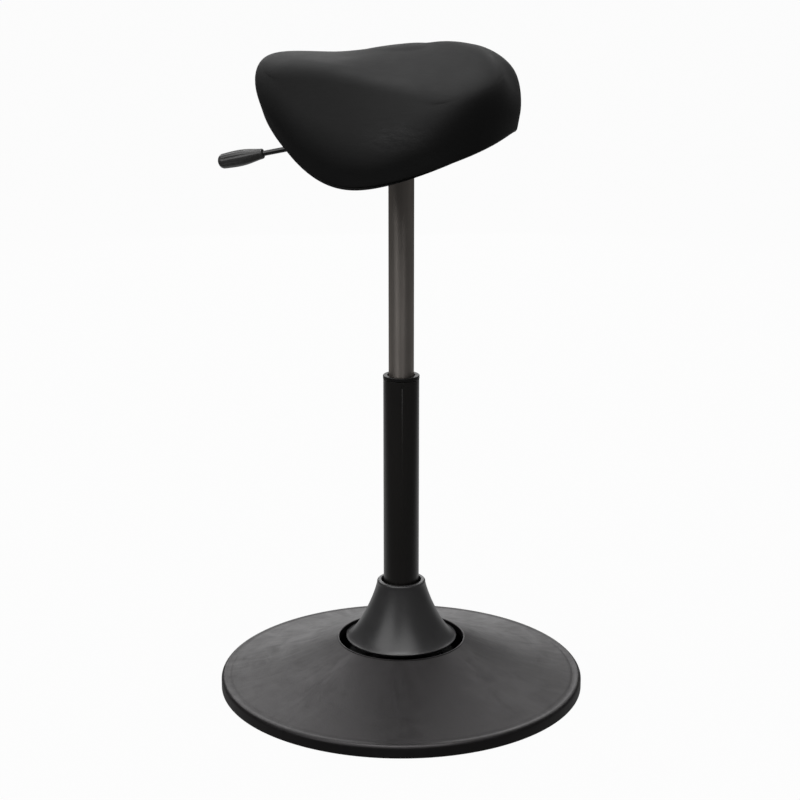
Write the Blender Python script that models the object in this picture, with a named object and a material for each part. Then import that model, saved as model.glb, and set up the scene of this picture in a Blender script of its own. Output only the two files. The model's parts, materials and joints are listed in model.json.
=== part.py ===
"""Saddle stool on a tilting foot, with a gas-spring column and a release lever.

Metres, +Z up. The floor is z = 0 and the column stands on the Z axis. The sitter faces -Y: the
seat's narrow nose points that way, its two thigh flaps droop at -X and +X, and the lever comes
out below the nose.
"""

from math import cos, pi, radians, sin, sqrt, tan

import bmesh
import bpy
from mathutils import Matrix, Vector

for leftover in list(bpy.data.objects):
    bpy.data.objects.remove(leftover, do_unlink=True)

# Fits
GAP = 0.0003  # between pieces that rest on each other
RUNNING_GAP = 0.0005  # between pieces that slide or turn on each other
EDGE_SHARE = 0.3  # softened edge of a screw head, a bar or a buffer, as a share of its size

# Base
BASE_RADIUS = 0.2068
RIM_SKIN = 0.0019
RIM_ROUNDING = 0.004
COVER_WALL = 0.003
COVER_FLOOR_GAP = 0.0012
COVER_HOLE_RADIUS = 0.071
COVER_HOLE_HEIGHT = 0.056
COVER_LIP_DEPTH = 0.008
COVER_HOLE_SLOPE = radians(27)
COVER_RIM_SLOPE = radians(9)
COVER_CURVE_PULL = 0.362  # share of the cone's run that each end slope holds
COVER_LEDGE_WIDTH = 0.016
FLOOR_RING_INSET = 0.0188  # middle of the ring in from the base's edge
FLOOR_RING_WIDTH = 0.012
FLOOR_RING_HEIGHT = 0.004
WEIGHT_THICKNESS = 0.008
BOSS_INSET = 0.0468  # screw bosses in from the base's edge
BOSS_RADIUS = 0.006
COVER_SCREW_COUNT = 4
COVER_SCREW_RADIUS = 0.0018
COVER_SCREW_HEAD_RADIUS = 0.0042
COVER_SCREW_HEAD_HEIGHT = 0.0022
COVER_SCREW_GRIP = 0.0052  # length of thread inside a boss

# Tilt joint
TILT_HEIGHT = 0.024  # pivot above the floor
BALL_RADIUS = 0.0275
BALL_HALF_HEIGHT = 0.0135
RUBBER_THICKNESS = 0.0122
RUBBER_HALF_HEIGHT = 0.0125
HOUSING_WALL = 0.0193
CLAMP_HEIGHT = 0.0132
CLAMP_BOLT_COUNT = 4
CLAMP_BOLT_RADIUS = 0.0025
CLAMP_BOLT_HEAD_RADIUS = 0.0045
CLAMP_BOLT_HEAD_HEIGHT = 0.0035
CLAMP_BOLT_GRIP = 0.006  # length of thread inside the weight

# Boot
BOOT_TOP_RADIUS = 0.026
BOOT_LIP_ROUNDING = 0.0016
BOOT_HEIGHT = 0.075
BOOT_FOOT_RADIUS = 0.063
BOOT_FOOT_ABOVE_HOLE = 0.0005
BOOT_WALL = 0.0024
BOOT_MOUTH_GAP = 0.0026  # open ring round the tube
BOOT_WEB = 0.004
BOOT_NECK_FLARE = 0.0014  # pull of the curve at the boot's neck, outward
BOOT_NECK_DROP = 0.0233  # and down
BOOT_SKIRT_REACH = 0.0118  # pull of the curve at the boot's foot, inward
BOOT_SKIRT_RISE = 0.0041  # and up

# Stand tube and its socket
TUBE_RADIUS = 0.020
TUBE_WALL = 0.002
TUBE_FLOOR = 0.003
TUBE_LENGTH = 0.3441
TUBE_DROP = 0.0075  # tube's foot below the tilt pivot
TAPER_LENGTH = 0.0835
TAPER_RADIUS_CUT = 0.0012
NECK_WALL = 0.0022
SOCKET_HEIGHT = 0.084  # top of the socket above the tilt pivot

# Guide sleeve
SLEEVE_LENGTH = 0.0909
COLLAR_HEIGHT = 0.0041
COLLAR_OVERHANG = 0.0003
COLLAR_ROUNDING = 0.0008
MOUTH_GAP = 0.0015
MOUTH_DEPTH = 0.003

# Gas spring
CYLINDER_RADIUS = 0.014
CYLINDER_WALL = 0.002
STROKE_RESERVE = 0.004  # left between the collar and the taper socket at the lowest height
CYLINDER_TAPER = 0.0009  # radius lost in the taper socket
CYLINDER_HEAD = 0.0035
ROD_RADIUS = 0.005
ROD_STUB_RADIUS = 0.004
RACE_THICKNESS = 0.0015
RACE_RADIUS = 0.013
BALL_SIZE = 0.0027
BALL_COUNT = 6
CAGE_THICKNESS = 0.0014
WASHER_THICKNESS = 0.002
CLIP_THICKNESS = 0.0018
CLIP_GROOVE_DEPTH = 0.001
CLIP_RADIUS = 0.0075
ROD_END_LENGTH = 0.002
BUFFER_HEIGHT = 0.018
BUFFER_RADIUS = 0.011
ROD_GUIDE_HEIGHT = 0.022
PISTON_HEIGHT = 0.012
PISTON_REST_GAP = 0.004
SEAL_HEIGHT = 0.003
SEAL_DEPTH = 0.002
VALVE_LENGTH = 0.042
PIN_RADIUS = 0.003
PIN_LENGTH = 0.040
BUTTON_RADIUS = 0.0035
BUTTON_THICKNESS = 0.002
BUTTON_STANDOFF = 0.0057  # button's top above the cylinder's head

# Seat plate, a steel channel with the taper socket in its web
PLATE_THICKNESS = 0.003
SOCKET_DROP = 0.024  # socket below the channel's web
SOCKET_WALL = 0.005
SOCKET_RISE = 0.0015  # socket above the channel's web
CHANNEL_DEPTH = 0.0427
CHANNEL_WIDTH = 0.054
CHANNEL_LENGTH = 0.090
FLANGE_WIDTH = 0.024
SEAT_BOLT_X = 0.039
SEAT_BOLT_Y = 0.030
SEAT_BOLT_RADIUS = 0.003
SEAT_BOLT_HEAD_RADIUS = 0.0055
SEAT_BOLT_HEAD_HEIGHT = 0.004
TEE_NUT_RADIUS = 0.009
TEE_NUT_FLANGE = 0.0012
TEE_NUT_BARREL_WALL = 0.001
TEE_NUT_LENGTH = 0.006

# Lever
LEVER_SLOPE = radians(12)
LEVER_ARM = 0.030  # pivot ahead of the column's axis
LEVER_BAR_RADIUS = 0.003
LEVER_TAIL = 0.036  # bar behind the pivot
LEVER_REACH = 0.1274  # pivot to the handle
LEVER_HUB_RADIUS = 0.0065
LEVER_HUB_WIDTH = 0.018
LEVER_HUB_LIFT = 0.0041  # hub above the channel's web
PIVOT_PIN_RADIUS = 0.0025
PIVOT_PIN_HEAD_RADIUS = 0.004
PIVOT_PIN_HEAD = 0.0015
PIVOT_CLIP_RADIUS = 0.0045
PIVOT_CLIP_THICKNESS = 0.001
PIVOT_GROOVE_DEPTH = 0.0007
HANDLE_LENGTH = 0.053
HANDLE_NECK_RADIUS = 0.0054
HANDLE_GRIP_RADIUS = 0.0087
HANDLE_SOCKET_DEPTH = 0.022
HANDLE_SHOULDER = 0.0014
HANDLE_NOSE = 0.0104  # length of the rounded end
HANDLE_NECK_PULL = 0.016  # straight run of the swelling at the neck
HANDLE_GRIP_PULL = 0.0185  # and at the grip

# Seat in plan: reach from its centre to the outer wall, at five stations from the nose to the rear
SEAT_CENTRE_Y = 0.004
NOSE_REACH = 0.162
FRONT_QUARTER_REACH = 0.139
FLAP_REACH = 0.138
REAR_QUARTER_REACH = 0.133
REAR_REACH = 0.123

# Seat section: a top panel, a crease, a flank, a rounded rim and a wall down to the hem. Heights
# are above the shell's flat land. Each list runs at equal angles from the nose to the rear.
CROWN_HEIGHT = 0.064
CROWN_TILT = 0.12  # slope of the crown down to the nose
PANEL_SWELL = 0.30  # share of the fall from crown to crease reached half way
NOSE_DIP = 0.0065  # panel lower ahead of the crown and higher behind it, half way out
SWELL_SHARE = 0.22  # of the crease's reach, rounded on each side of the swell
CREASE_SHARES = (0.87, 0.89, 0.81, 0.71, 0.80, 0.90, 0.75)  # of the reach
CREASE_HEIGHTS = (0.052, 0.049, 0.042, 0.036, 0.033, 0.038, 0.059)
CREASE_ROUNDINGS = (0.010, 0.012, 0.012)
RIM_HEIGHTS = (0.035, 0.012, -0.025, -0.035, -0.005, 0.020, 0.016)
RIM_ROUNDINGS = (0.012, 0.028, 0.017)
HEM_HEIGHTS = (0.000, -0.052, -0.071, -0.041, -0.026)
WALL_TUCK = 0.005  # wall drawn in at its foot
CORNER_LIMIT = 0.45  # share of a straight run that one rounded corner can take
SKIN = 0.0015
HEM_WIDTH = 0.014
HEM_GAP = 0.0008  # soft skin below the shell and above the closing panel
SHELL_THICKNESS = 0.008
SHELL_INSET = 0.007
LAND_RADIUS = 0.075  # flat part of the shell, which takes the seat plate
UNDERSIDE_CURVE = 0.8  # how early the shell droops beyond the land
UNDER_COVER_THICKNESS = 0.002
UNDER_COVER_INSET = 0.003

# Facets
TURN_STEPS = 20
BASE_STEPS = 40
BOOT_STEPS = 32
BALL_STEPS = 28
SMALL_STEPS = 12
SCREW_STEPS = 8
SEAT_STEPS = 40
UNDER_STEPS = 7
SMOOTH_ANGLE = radians(32)

# Heights that follow from the sizes above
weight_bottom = FLOOR_RING_HEIGHT + GAP
weight_top = weight_bottom + WEIGHT_THICKNESS
ledge_height = weight_top + GAP
rim_top = ledge_height + RIM_SKIN
floor_ring_radius = BASE_RADIUS - FLOOR_RING_INSET
boss_circle = BASE_RADIUS - BOSS_INSET
rubber_inner = BALL_RADIUS + RUNNING_GAP
rubber_outer = rubber_inner + RUBBER_THICKNESS
housing_inner = rubber_outer + RUNNING_GAP
housing_outer = housing_inner + HOUSING_WALL
clamp_circle = (housing_inner + housing_outer) / 2 + RUNNING_GAP
clamp_top = TILT_HEIGHT + CLAMP_HEIGHT
socket_top = TILT_HEIGHT + SOCKET_HEIGHT
tube_foot = TILT_HEIGHT - TUBE_DROP
tube_top = tube_foot + TUBE_LENGTH
tube_bore = TUBE_RADIUS - TUBE_WALL
collar_foot = tube_top + GAP
collar_top = collar_foot + COLLAR_HEIGHT
sleeve_foot = tube_top - SLEEVE_LENGTH
lower_race = tube_foot + TUBE_FLOOR + GAP
cage_middle = lower_race + RACE_THICKNESS + GAP + BALL_SIZE / 2
upper_race = cage_middle + BALL_SIZE / 2 + GAP
rod_shoulder = upper_race + RACE_THICKNESS + GAP
buffer_top = rod_shoulder + BUFFER_HEIGHT
cylinder_foot = sleeve_foot
stroke = cylinder_foot - GAP - buffer_top
taper_foot = collar_top + stroke + STROKE_RESERVE
web_bottom = taper_foot + SOCKET_DROP
web_top = web_bottom + PLATE_THICKNESS
taper_top = web_top + SOCKET_RISE
lever_height = web_top + LEVER_HUB_LIFT + LEVER_HUB_RADIUS
button_top = lever_height + (LEVER_ARM - BUTTON_RADIUS) * tan(LEVER_SLOPE)
button_top -= LEVER_BAR_RADIUS / cos(LEVER_SLOPE) + GAP
cylinder_top = button_top - BUTTON_STANDOFF
plate_top = web_bottom + CHANNEL_DEPTH
land = plate_top + GAP
cylinder_bore = CYLINDER_RADIUS - CYLINDER_WALL
guide_top = cylinder_foot + ROD_GUIDE_HEIGHT
piston_foot = guide_top + PISTON_REST_GAP
piston_top = piston_foot + PISTON_HEIGHT
washer_top = tube_foot - GAP
clip_top = washer_top - WASHER_THICKNESS - GAP
rod_foot = clip_top - CLIP_THICKNESS - ROD_END_LENGTH

# Shared building steps


def surface(name, colour, roughness, metallic=0.0):
    """A plain material with one colour."""
    made = bpy.data.materials.new(name)
    made.use_nodes = True
    shader = made.node_tree.nodes["Principled BSDF"]
    shader.inputs["Base Color"].default_value = (*colour, 1.0)
    shader.inputs["Roughness"].default_value = roughness
    shader.inputs["Metallic"].default_value = metallic
    return made


def frame(name, place, parent=None, slope=0.0):
    """An empty on a joint's axis that carries one moving group of pieces."""
    made = bpy.data.objects.new(name, None)
    made.location = place
    if parent:
        made.location = Vector(place) - Vector(parent["place"])
        made.parent = parent
    made.rotation_euler.x = slope
    made["place"] = place
    bpy.context.scene.collection.objects.link(made)
    return made


def piece(name, shape, carrier, finish, in_carrier_axes=False):
    """Turns a bmesh into a named object that its carrier moves."""
    if not in_carrier_axes:
        bmesh.ops.translate(shape, verts=shape.verts, vec=-Vector(carrier["place"]))
    bmesh.ops.recalc_face_normals(shape, faces=shape.faces)
    mesh = bpy.data.meshes.new(name)
    shape.to_mesh(mesh)
    shape.free()
    mesh.shade_smooth()
    mesh.set_sharp_from_angle(angle=SMOOTH_ANGLE)
    made = bpy.data.objects.new(name, mesh)
    made.parent = carrier
    mesh.materials.append(finish)
    bpy.context.scene.collection.objects.link(made)
    return made


def turned(profile, steps=TURN_STEPS, closed=True, turn=None, shift=(0, 0, 0)):
    """Spins a profile of (radius, height) points round Z, then turns and shifts the result."""
    shape = bmesh.new()
    points = [shape.verts.new((radius, 0, height)) for radius, height in profile]
    edges = [shape.edges.new(pair) for pair in zip(points, points[1:])]
    if closed:
        edges.append(shape.edges.new((points[-1], points[0])))
    line = points + edges
    bmesh.ops.spin(shape, geom=line, axis=(0, 0, 1), angle=2 * pi, steps=steps, use_merge=True)
    bmesh.ops.remove_doubles(shape, verts=shape.verts, dist=1e-6)
    if turn:
        bmesh.ops.transform(shape, matrix=turn, verts=shape.verts)
    bmesh.ops.translate(shape, verts=shape.verts, vec=shift)
    return shape


def washer(bore, radius, low, high):
    """Profile of a plain ring."""
    return [(bore, high), (radius, high), (radius, low), (bore, low)]


def spread(ring):
    """How far out a ring of points lies, to compare it with another."""
    return sum(point.co.xy.length for point in ring)


def lofted(rings, closed=False):
    """Joins rings of points by triangles, split the same way on parallel surfaces.

    A ring of one point is a pole.
    """
    shape = bmesh.new()
    loops = [[shape.verts.new(point) for point in ring] for ring in rings]
    pairs = list(zip(loops, loops[1:]))
    if closed:
        pairs.append((loops[-1], loops[0]))
    for one, two in pairs:
        inner, outer = sorted((one, two), key=spread)
        steps = len(outer)
        for step in range(steps):
            after = (step + 1) % steps
            if len(inner) == 1:
                shape.faces.new((inner[0], outer[step], outer[after]))
            else:
                shape.faces.new((inner[step], outer[step], outer[after]))
                shape.faces.new((inner[step], outer[after], inner[after]))
    return shape


def tool(name, shape, carrier):
    """A hidden shape for a Boolean, in its carrier's axes."""
    made = piece(name, shape, carrier, steel, in_carrier_axes=True)
    made.hide_render = True
    made.display_type = "WIRE"
    return made


def combine(target, other, operation):
    step = target.modifiers.new(other.name, "BOOLEAN")
    step.object = other
    step.operation = operation
    step.solver = "EXACT"


def rods(places, radius, low, high, steps=SCREW_STEPS):
    """Upright cylinders at the places, from low to high."""
    shape = bmesh.new()
    for x, y in places:
        middle = Matrix.Translation((x, y, (low + high) / 2))
        bmesh.ops.create_cone(
            shape,
            cap_ends=True,
            segments=steps,
            radius1=radius,
            radius2=radius,
            depth=high - low,
            matrix=middle,
        )
    return shape


def arc(centre, radius, start, end, steps):
    """Points on a circle about (radius, height), with angles from the outward direction."""
    angles = [start + (end - start) * step / steps for step in range(steps + 1)]
    return [(centre[0] + radius * cos(angle), centre[1] + radius * sin(angle)) for angle in angles]


def bezier(start, start_pull, end_pull, end, steps):
    """Points on a cubic curve with its two pull points."""
    points = []
    for step in range(steps + 1):
        t = step / steps
        shares = ((1 - t) ** 3, 3 * t * (1 - t) ** 2, 3 * t * t * (1 - t), t**3)
        corners = (start, start_pull, end_pull, end)
        radius = sum(share * corner[0] for share, corner in zip(shares, corners))
        height = sum(share * corner[1] for share, corner in zip(shares, corners))
        points.append((radius, height))
    return points


def offset_curve(points, distance):
    """The same curve moved square to itself, to the left for a positive distance."""
    moved = []
    for index, (radius, height) in enumerate(points):
        before = points[max(index - 1, 0)]
        after = points[min(index + 1, len(points) - 1)]
        along = Vector((after[0] - before[0], after[1] - before[1])).normalized()
        moved.append((radius - along.y * distance, height + along.x * distance))
    return moved


def on_circle(count, radius, start=pi / 4):
    angles = [start + 2 * pi * step / count for step in range(count)]
    return [(radius * cos(angle), radius * sin(angle)) for angle in angles]


def screw(place, foot, shank, head, head_height, length, up=True):
    """A headed screw at the place: its head's seat at the foot height, its shank up or down."""
    way = 1 if up else -1
    soft = head_height * EDGE_SHARE
    profile = [
        (0, -head_height),
        (head - soft, -head_height),
        (head, soft - head_height),
        (head, 0),
        (shank, 0),
        (shank, length),
        (0, length),
    ]
    profile = [(radius, foot + way * height) for radius, height in profile]
    return turned(profile, SCREW_STEPS, closed=False, shift=(*place, 0))


# Finishes
steel = surface("steel", (0.35, 0.35, 0.36), 0.35, 1.0)
black_plastic = surface("black_plastic", (0.045, 0.045, 0.047), 0.55)
boot_plastic = surface("boot_plastic", (0.05, 0.05, 0.052), 0.45)
rubber = surface("rubber", (0.02, 0.02, 0.02), 0.8)
tube_paint = surface("tube_paint", (0.012, 0.012, 0.013), 0.4)
sleeve_plastic = surface("sleeve_plastic", (0.06, 0.06, 0.062), 0.4)
cylinder_finish = surface("cylinder_finish", (0.06, 0.055, 0.053), 0.35, 1.0)
leatherette = surface("leatherette", (0.014, 0.014, 0.015), 0.45)
foam = surface("foam", (0.5, 0.48, 0.4), 0.95)
shell_plastic = surface("shell_plastic", (0.01, 0.01, 0.01), 0.6)
plate_paint = surface("plate_paint", (0.015, 0.015, 0.015), 0.5)
lever_paint = surface("lever_paint", (0.012, 0.012, 0.012), 0.3)
handle_plastic = surface("handle_plastic", (0.03, 0.03, 0.032), 0.35)

# Joint frames
base_frame = frame("base_frame", (0, 0, 0))
bush_frame = frame("bush_frame", (0, 0, TILT_HEIGHT), base_frame)
column_frame = frame("column_frame", (0, 0, TILT_HEIGHT), bush_frame)
cage_frame = frame("cage_frame", (0, 0, cage_middle), column_frame)
rod_frame = frame("rod_frame", (0, 0, rod_shoulder), column_frame)
seat_frame = frame("seat_frame", (0, 0, cylinder_foot), rod_frame)
lever_frame = frame("lever_frame", (0, -LEVER_ARM, lever_height), seat_frame, LEVER_SLOPE)
pin_frame = frame("pin_frame", (0, 0, button_top), seat_frame)

# Base


def cover_top():
    """The cone's upper face, from the hole out to the rounded rim."""
    rim_edge = BASE_RADIUS - RIM_ROUNDING
    pull = (rim_edge - COVER_HOLE_RADIUS) * COVER_CURVE_PULL
    start = (COVER_HOLE_RADIUS, COVER_HOLE_HEIGHT)
    start_pull = (start[0] + pull * cos(COVER_HOLE_SLOPE), start[1] - pull * sin(COVER_HOLE_SLOPE))
    end = (rim_edge, rim_top)
    end_pull = (end[0] - pull * cos(COVER_RIM_SLOPE), end[1] + pull * sin(COVER_RIM_SLOPE))
    return bezier(start, start_pull, end_pull, end, 7)


def skin_height(radius):
    """Height of the cone's upper face at a radius."""
    top = cover_top()
    outer = next(index for index, point in enumerate(top) if point[0] >= radius)
    (near, high), (far, low) = top[outer - 1], top[outer]
    return high + (low - high) * (radius - near) / (far - near)


def cover_profile():
    """Cone skin with a rounded rim, a ledge on the weight and a lip turned down into the hole."""
    rim_edge = BASE_RADIUS - RIM_ROUNDING
    lip_edge = COVER_HOLE_RADIUS + COVER_WALL
    top = cover_top()
    rim = arc((rim_edge, rim_top - RIM_ROUNDING), RIM_ROUNDING, pi / 2, 0, 3)
    inside = BASE_RADIUS - COVER_WALL
    ledge_end = inside - COVER_LEDGE_WIDTH
    under = [point for point in offset_curve(top, -COVER_WALL) if lip_edge < point[0] < ledge_end]
    foot = [(BASE_RADIUS - COVER_WALL / 3, COVER_FLOOR_GAP), (inside, COVER_FLOOR_GAP)]
    ledge = [(inside, ledge_height), (ledge_end, ledge_height)]
    lip_foot = COVER_HOLE_HEIGHT - COVER_LIP_DEPTH
    lip = [(lip_edge, lip_foot), (COVER_HOLE_RADIUS, lip_foot)]
    side = [(BASE_RADIUS, COVER_FLOOR_GAP + COVER_WALL / 3)]
    return top + rim[1:] + side + foot + ledge + under[::-1] + lip


def make_base():
    cover = piece("base_cover", turned(cover_profile(), BASE_STEPS), base_frame, black_plastic)
    bosses = on_circle(COVER_SCREW_COUNT, boss_circle)
    boss_top = skin_height(boss_circle) - COVER_WALL / 2
    boss_rods = rods(bosses, BOSS_RADIUS, ledge_height, boss_top)
    combine(cover, tool("cover_bosses", boss_rods, base_frame), "UNION")
    pilot_top = ledge_height + COVER_SCREW_GRIP + GAP
    pilots = rods(bosses, COVER_SCREW_RADIUS + GAP, weight_top - GAP, pilot_top)
    combine(cover, tool("cover_pilots", pilots, base_frame), "DIFFERENCE")

    hole = housing_inner + RUNNING_GAP
    rim = BASE_RADIUS - COVER_WALL - RUNNING_GAP
    disc = washer(hole, rim, weight_bottom, weight_top)
    weight = piece("base_weight", turned(disc, BASE_STEPS), base_frame, steel)
    screw_seat = weight_bottom + COVER_SCREW_HEAD_HEIGHT + GAP * 2
    through = rods(bosses, COVER_SCREW_RADIUS + GAP, screw_seat - GAP, weight_top + GAP)
    combine(weight, tool("screw_holes", through, base_frame), "DIFFERENCE")
    sunk = rods(bosses, COVER_SCREW_HEAD_RADIUS + GAP, weight_bottom - GAP, screw_seat)
    combine(weight, tool("screw_sinks", sunk, base_frame), "DIFFERENCE")
    clamps = on_circle(CLAMP_BOLT_COUNT, clamp_circle, 0)
    thread_foot = weight_top - CLAMP_BOLT_GRIP - GAP
    threads = rods(clamps, CLAMP_BOLT_RADIUS + GAP, thread_foot, weight_top + GAP)
    combine(weight, tool("clamp_threads", threads, base_frame), "DIFFERENCE")

    half = FLOOR_RING_WIDTH / 2
    inner, outer = floor_ring_radius - half, floor_ring_radius + half
    edge = FLOOR_RING_HEIGHT / 4
    profile = [(inner, FLOOR_RING_HEIGHT), (outer, FLOOR_RING_HEIGHT), (outer, edge)]
    profile += [(outer - edge, 0), (inner + edge, 0), (inner, edge)]
    piece("floor_ring", turned(profile, BASE_STEPS), base_frame, rubber)

    for number, place in enumerate(bosses, 1):
        length = ledge_height + COVER_SCREW_GRIP - screw_seat + GAP
        shape = screw(
            place,
            screw_seat - GAP,
            COVER_SCREW_RADIUS,
            COVER_SCREW_HEAD_RADIUS,
            COVER_SCREW_HEAD_HEIGHT,
            length,
        )
        piece(f"cover_screw_{number}", shape, base_frame, steel)
    make_tilt_housing(clamps, thread_foot)


def ball_band(radius, low, high, steps=4):
    """Points on a ball about the tilt pivot, between two heights above it."""
    heights = [low + (high - low) * step / steps for step in range(steps + 1)]
    return [(sqrt(radius * radius - height * height), TILT_HEIGHT + height) for height in heights]


def make_tilt_housing(clamps, thread_foot):
    """Lower cup and upper clamp ring, which meet at the pivot's height round the rubber."""
    split = GAP / 2
    cup = ball_band(housing_inner, ledge_height - TILT_HEIGHT, -split)
    cup += [(housing_outer, TILT_HEIGHT - split), (housing_outer, ledge_height)]
    housing = piece("tilt_housing", turned(cup, BALL_STEPS), base_frame, steel)
    ring = ball_band(housing_inner, split, CLAMP_HEIGHT)
    ring += [(housing_outer, clamp_top), (housing_outer, TILT_HEIGHT + split)]
    clamp = piece("clamp_ring", turned(ring, BALL_STEPS), base_frame, steel)
    for target, name in ((housing, "housing_holes"), (clamp, "clamp_holes")):
        holes = rods(clamps, CLAMP_BOLT_RADIUS + GAP, ledge_height - GAP, clamp_top + GAP)
        combine(target, tool(name, holes, base_frame), "DIFFERENCE")
    head_seat = clamp_top + GAP
    for number, place in enumerate(clamps, 1):
        shape = screw(
            place,
            head_seat,
            CLAMP_BOLT_RADIUS,
            CLAMP_BOLT_HEAD_RADIUS,
            CLAMP_BOLT_HEAD_HEIGHT,
            head_seat - thread_foot - GAP,
            up=False,
        )
        piece(f"clamp_bolt_{number}", shape, base_frame, steel)
    bush = ball_band(rubber_outer, -RUBBER_HALF_HEIGHT, RUBBER_HALF_HEIGHT, 6)
    bush += ball_band(rubber_inner, RUBBER_HALF_HEIGHT, -RUBBER_HALF_HEIGHT, 6)
    piece("tilt_rubber", turned(bush, BALL_STEPS), bush_frame, rubber)


# Column


def boot_profile():
    """Trumpet from a rounded lip down to a wide foot, with a web that sits on the socket."""
    foot = COVER_HOLE_HEIGHT + BOOT_FOOT_ABOVE_HOLE
    top = foot + BOOT_HEIGHT
    mouth = TUBE_RADIUS + BOOT_MOUTH_GAP
    lip_centre = (BOOT_TOP_RADIUS - BOOT_LIP_ROUNDING, top - BOOT_LIP_ROUNDING)
    lip = arc(lip_centre, BOOT_LIP_ROUNDING, pi / 2, 0, 3)
    start = lip[-1]
    start_pull = (start[0] + BOOT_NECK_FLARE, start[1] - BOOT_NECK_DROP)
    end = (BOOT_FOOT_RADIUS, foot)
    end_pull = (end[0] - BOOT_SKIRT_REACH, end[1] + BOOT_SKIRT_RISE)
    flare = bezier(start, start_pull, end_pull, end, 8)
    web_foot = socket_top + GAP
    web_high = web_foot + BOOT_WEB
    bore = TUBE_RADIUS + GAP
    inside = [point for point in offset_curve(flare, -BOOT_WALL) if point[1] < web_foot - BOOT_WALL]
    inside[-1] = (inside[-1][0], foot)
    throat = inside[0][0] - BOOT_WALL / 2
    web = [(throat, web_foot), (bore, web_foot), (bore, web_high), (mouth, web_high)]
    return lip[:-1] + flare + inside[::-1] + web + [(mouth, top - BOOT_LIP_ROUNDING)]


def make_column():
    taper_end = tube_foot + TAPER_LENGTH
    foot_radius = TUBE_RADIUS - TAPER_RADIUS_CUT
    floor_bore = ROD_STUB_RADIUS + RUNNING_GAP
    floor_top = tube_foot + TUBE_FLOOR
    tube = [
        (TUBE_RADIUS, tube_top),
        (TUBE_RADIUS, taper_end),
        (foot_radius, tube_foot),
        (floor_bore, tube_foot),
        (floor_bore, floor_top),
        (foot_radius - TUBE_WALL, floor_top),
        (tube_bore, taper_end),
        (tube_bore, tube_top),
    ]
    piece("stand_tube", turned(tube), column_frame, tube_paint)

    ball = ball_band(BALL_RADIUS, -BALL_HALF_HEIGHT, BALL_HALF_HEIGHT, 6)
    neck = TUBE_RADIUS + GAP + NECK_WALL
    ball_foot = TILT_HEIGHT - BALL_HALF_HEIGHT
    socket = ball + [(neck, TILT_HEIGHT + BALL_HALF_HEIGHT + NECK_WALL / 4), (neck, socket_top)]
    socket += [(TUBE_RADIUS + GAP, socket_top), (TUBE_RADIUS + GAP, taper_end)]
    socket += [(foot_radius + GAP, tube_foot), (foot_radius + GAP, ball_foot)]
    piece("column_socket", turned(socket, BALL_STEPS), column_frame, steel)
    piece("column_boot", turned(boot_profile(), BOOT_STEPS), column_frame, boot_plastic)

    sleeve_radius = tube_bore - GAP
    sleeve_bore = CYLINDER_RADIUS + RUNNING_GAP
    collar = TUBE_RADIUS + COLLAR_OVERHANG
    mouth = CYLINDER_RADIUS + MOUTH_GAP
    sleeve = [(mouth, collar_top)]
    edge_centre = (collar - COLLAR_ROUNDING, collar_top - COLLAR_ROUNDING)
    sleeve += arc(edge_centre, COLLAR_ROUNDING, pi / 2, 0, 3)
    sleeve += [(collar, collar_foot), (sleeve_radius, collar_foot), (sleeve_radius, sleeve_foot)]
    sleeve += [(sleeve_bore, sleeve_foot), (sleeve_bore, collar_top - MOUTH_DEPTH)]
    piece("guide_sleeve", turned(sleeve), column_frame, sleeve_plastic)

    race = washer(ROD_STUB_RADIUS + RUNNING_GAP, RACE_RADIUS, lower_race, lower_race + RACE_THICKNESS)
    piece("bearing_lower_race", turned(race), column_frame, steel)


# Gas spring


def make_ball_cage():
    """Flat ring with the balls held in it."""
    inner = ROD_STUB_RADIUS + RUNNING_GAP
    half = CAGE_THICKNESS / 2
    ring = [(inner, cage_middle + half), (RACE_RADIUS, cage_middle + half)]
    ring += [(RACE_RADIUS, cage_middle - half), (inner, cage_middle - half)]
    cage = piece("ball_cage", turned(ring), cage_frame, steel)
    balls = bmesh.new()
    for x, y in on_circle(BALL_COUNT, (inner + RACE_RADIUS) / 2, 0):
        place = Matrix.Translation((x, y, 0))
        bmesh.ops.create_icosphere(balls, subdivisions=1, radius=BALL_SIZE / 2, matrix=place)
    combine(cage, tool("cage_balls", balls, cage_frame), "UNION")


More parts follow.
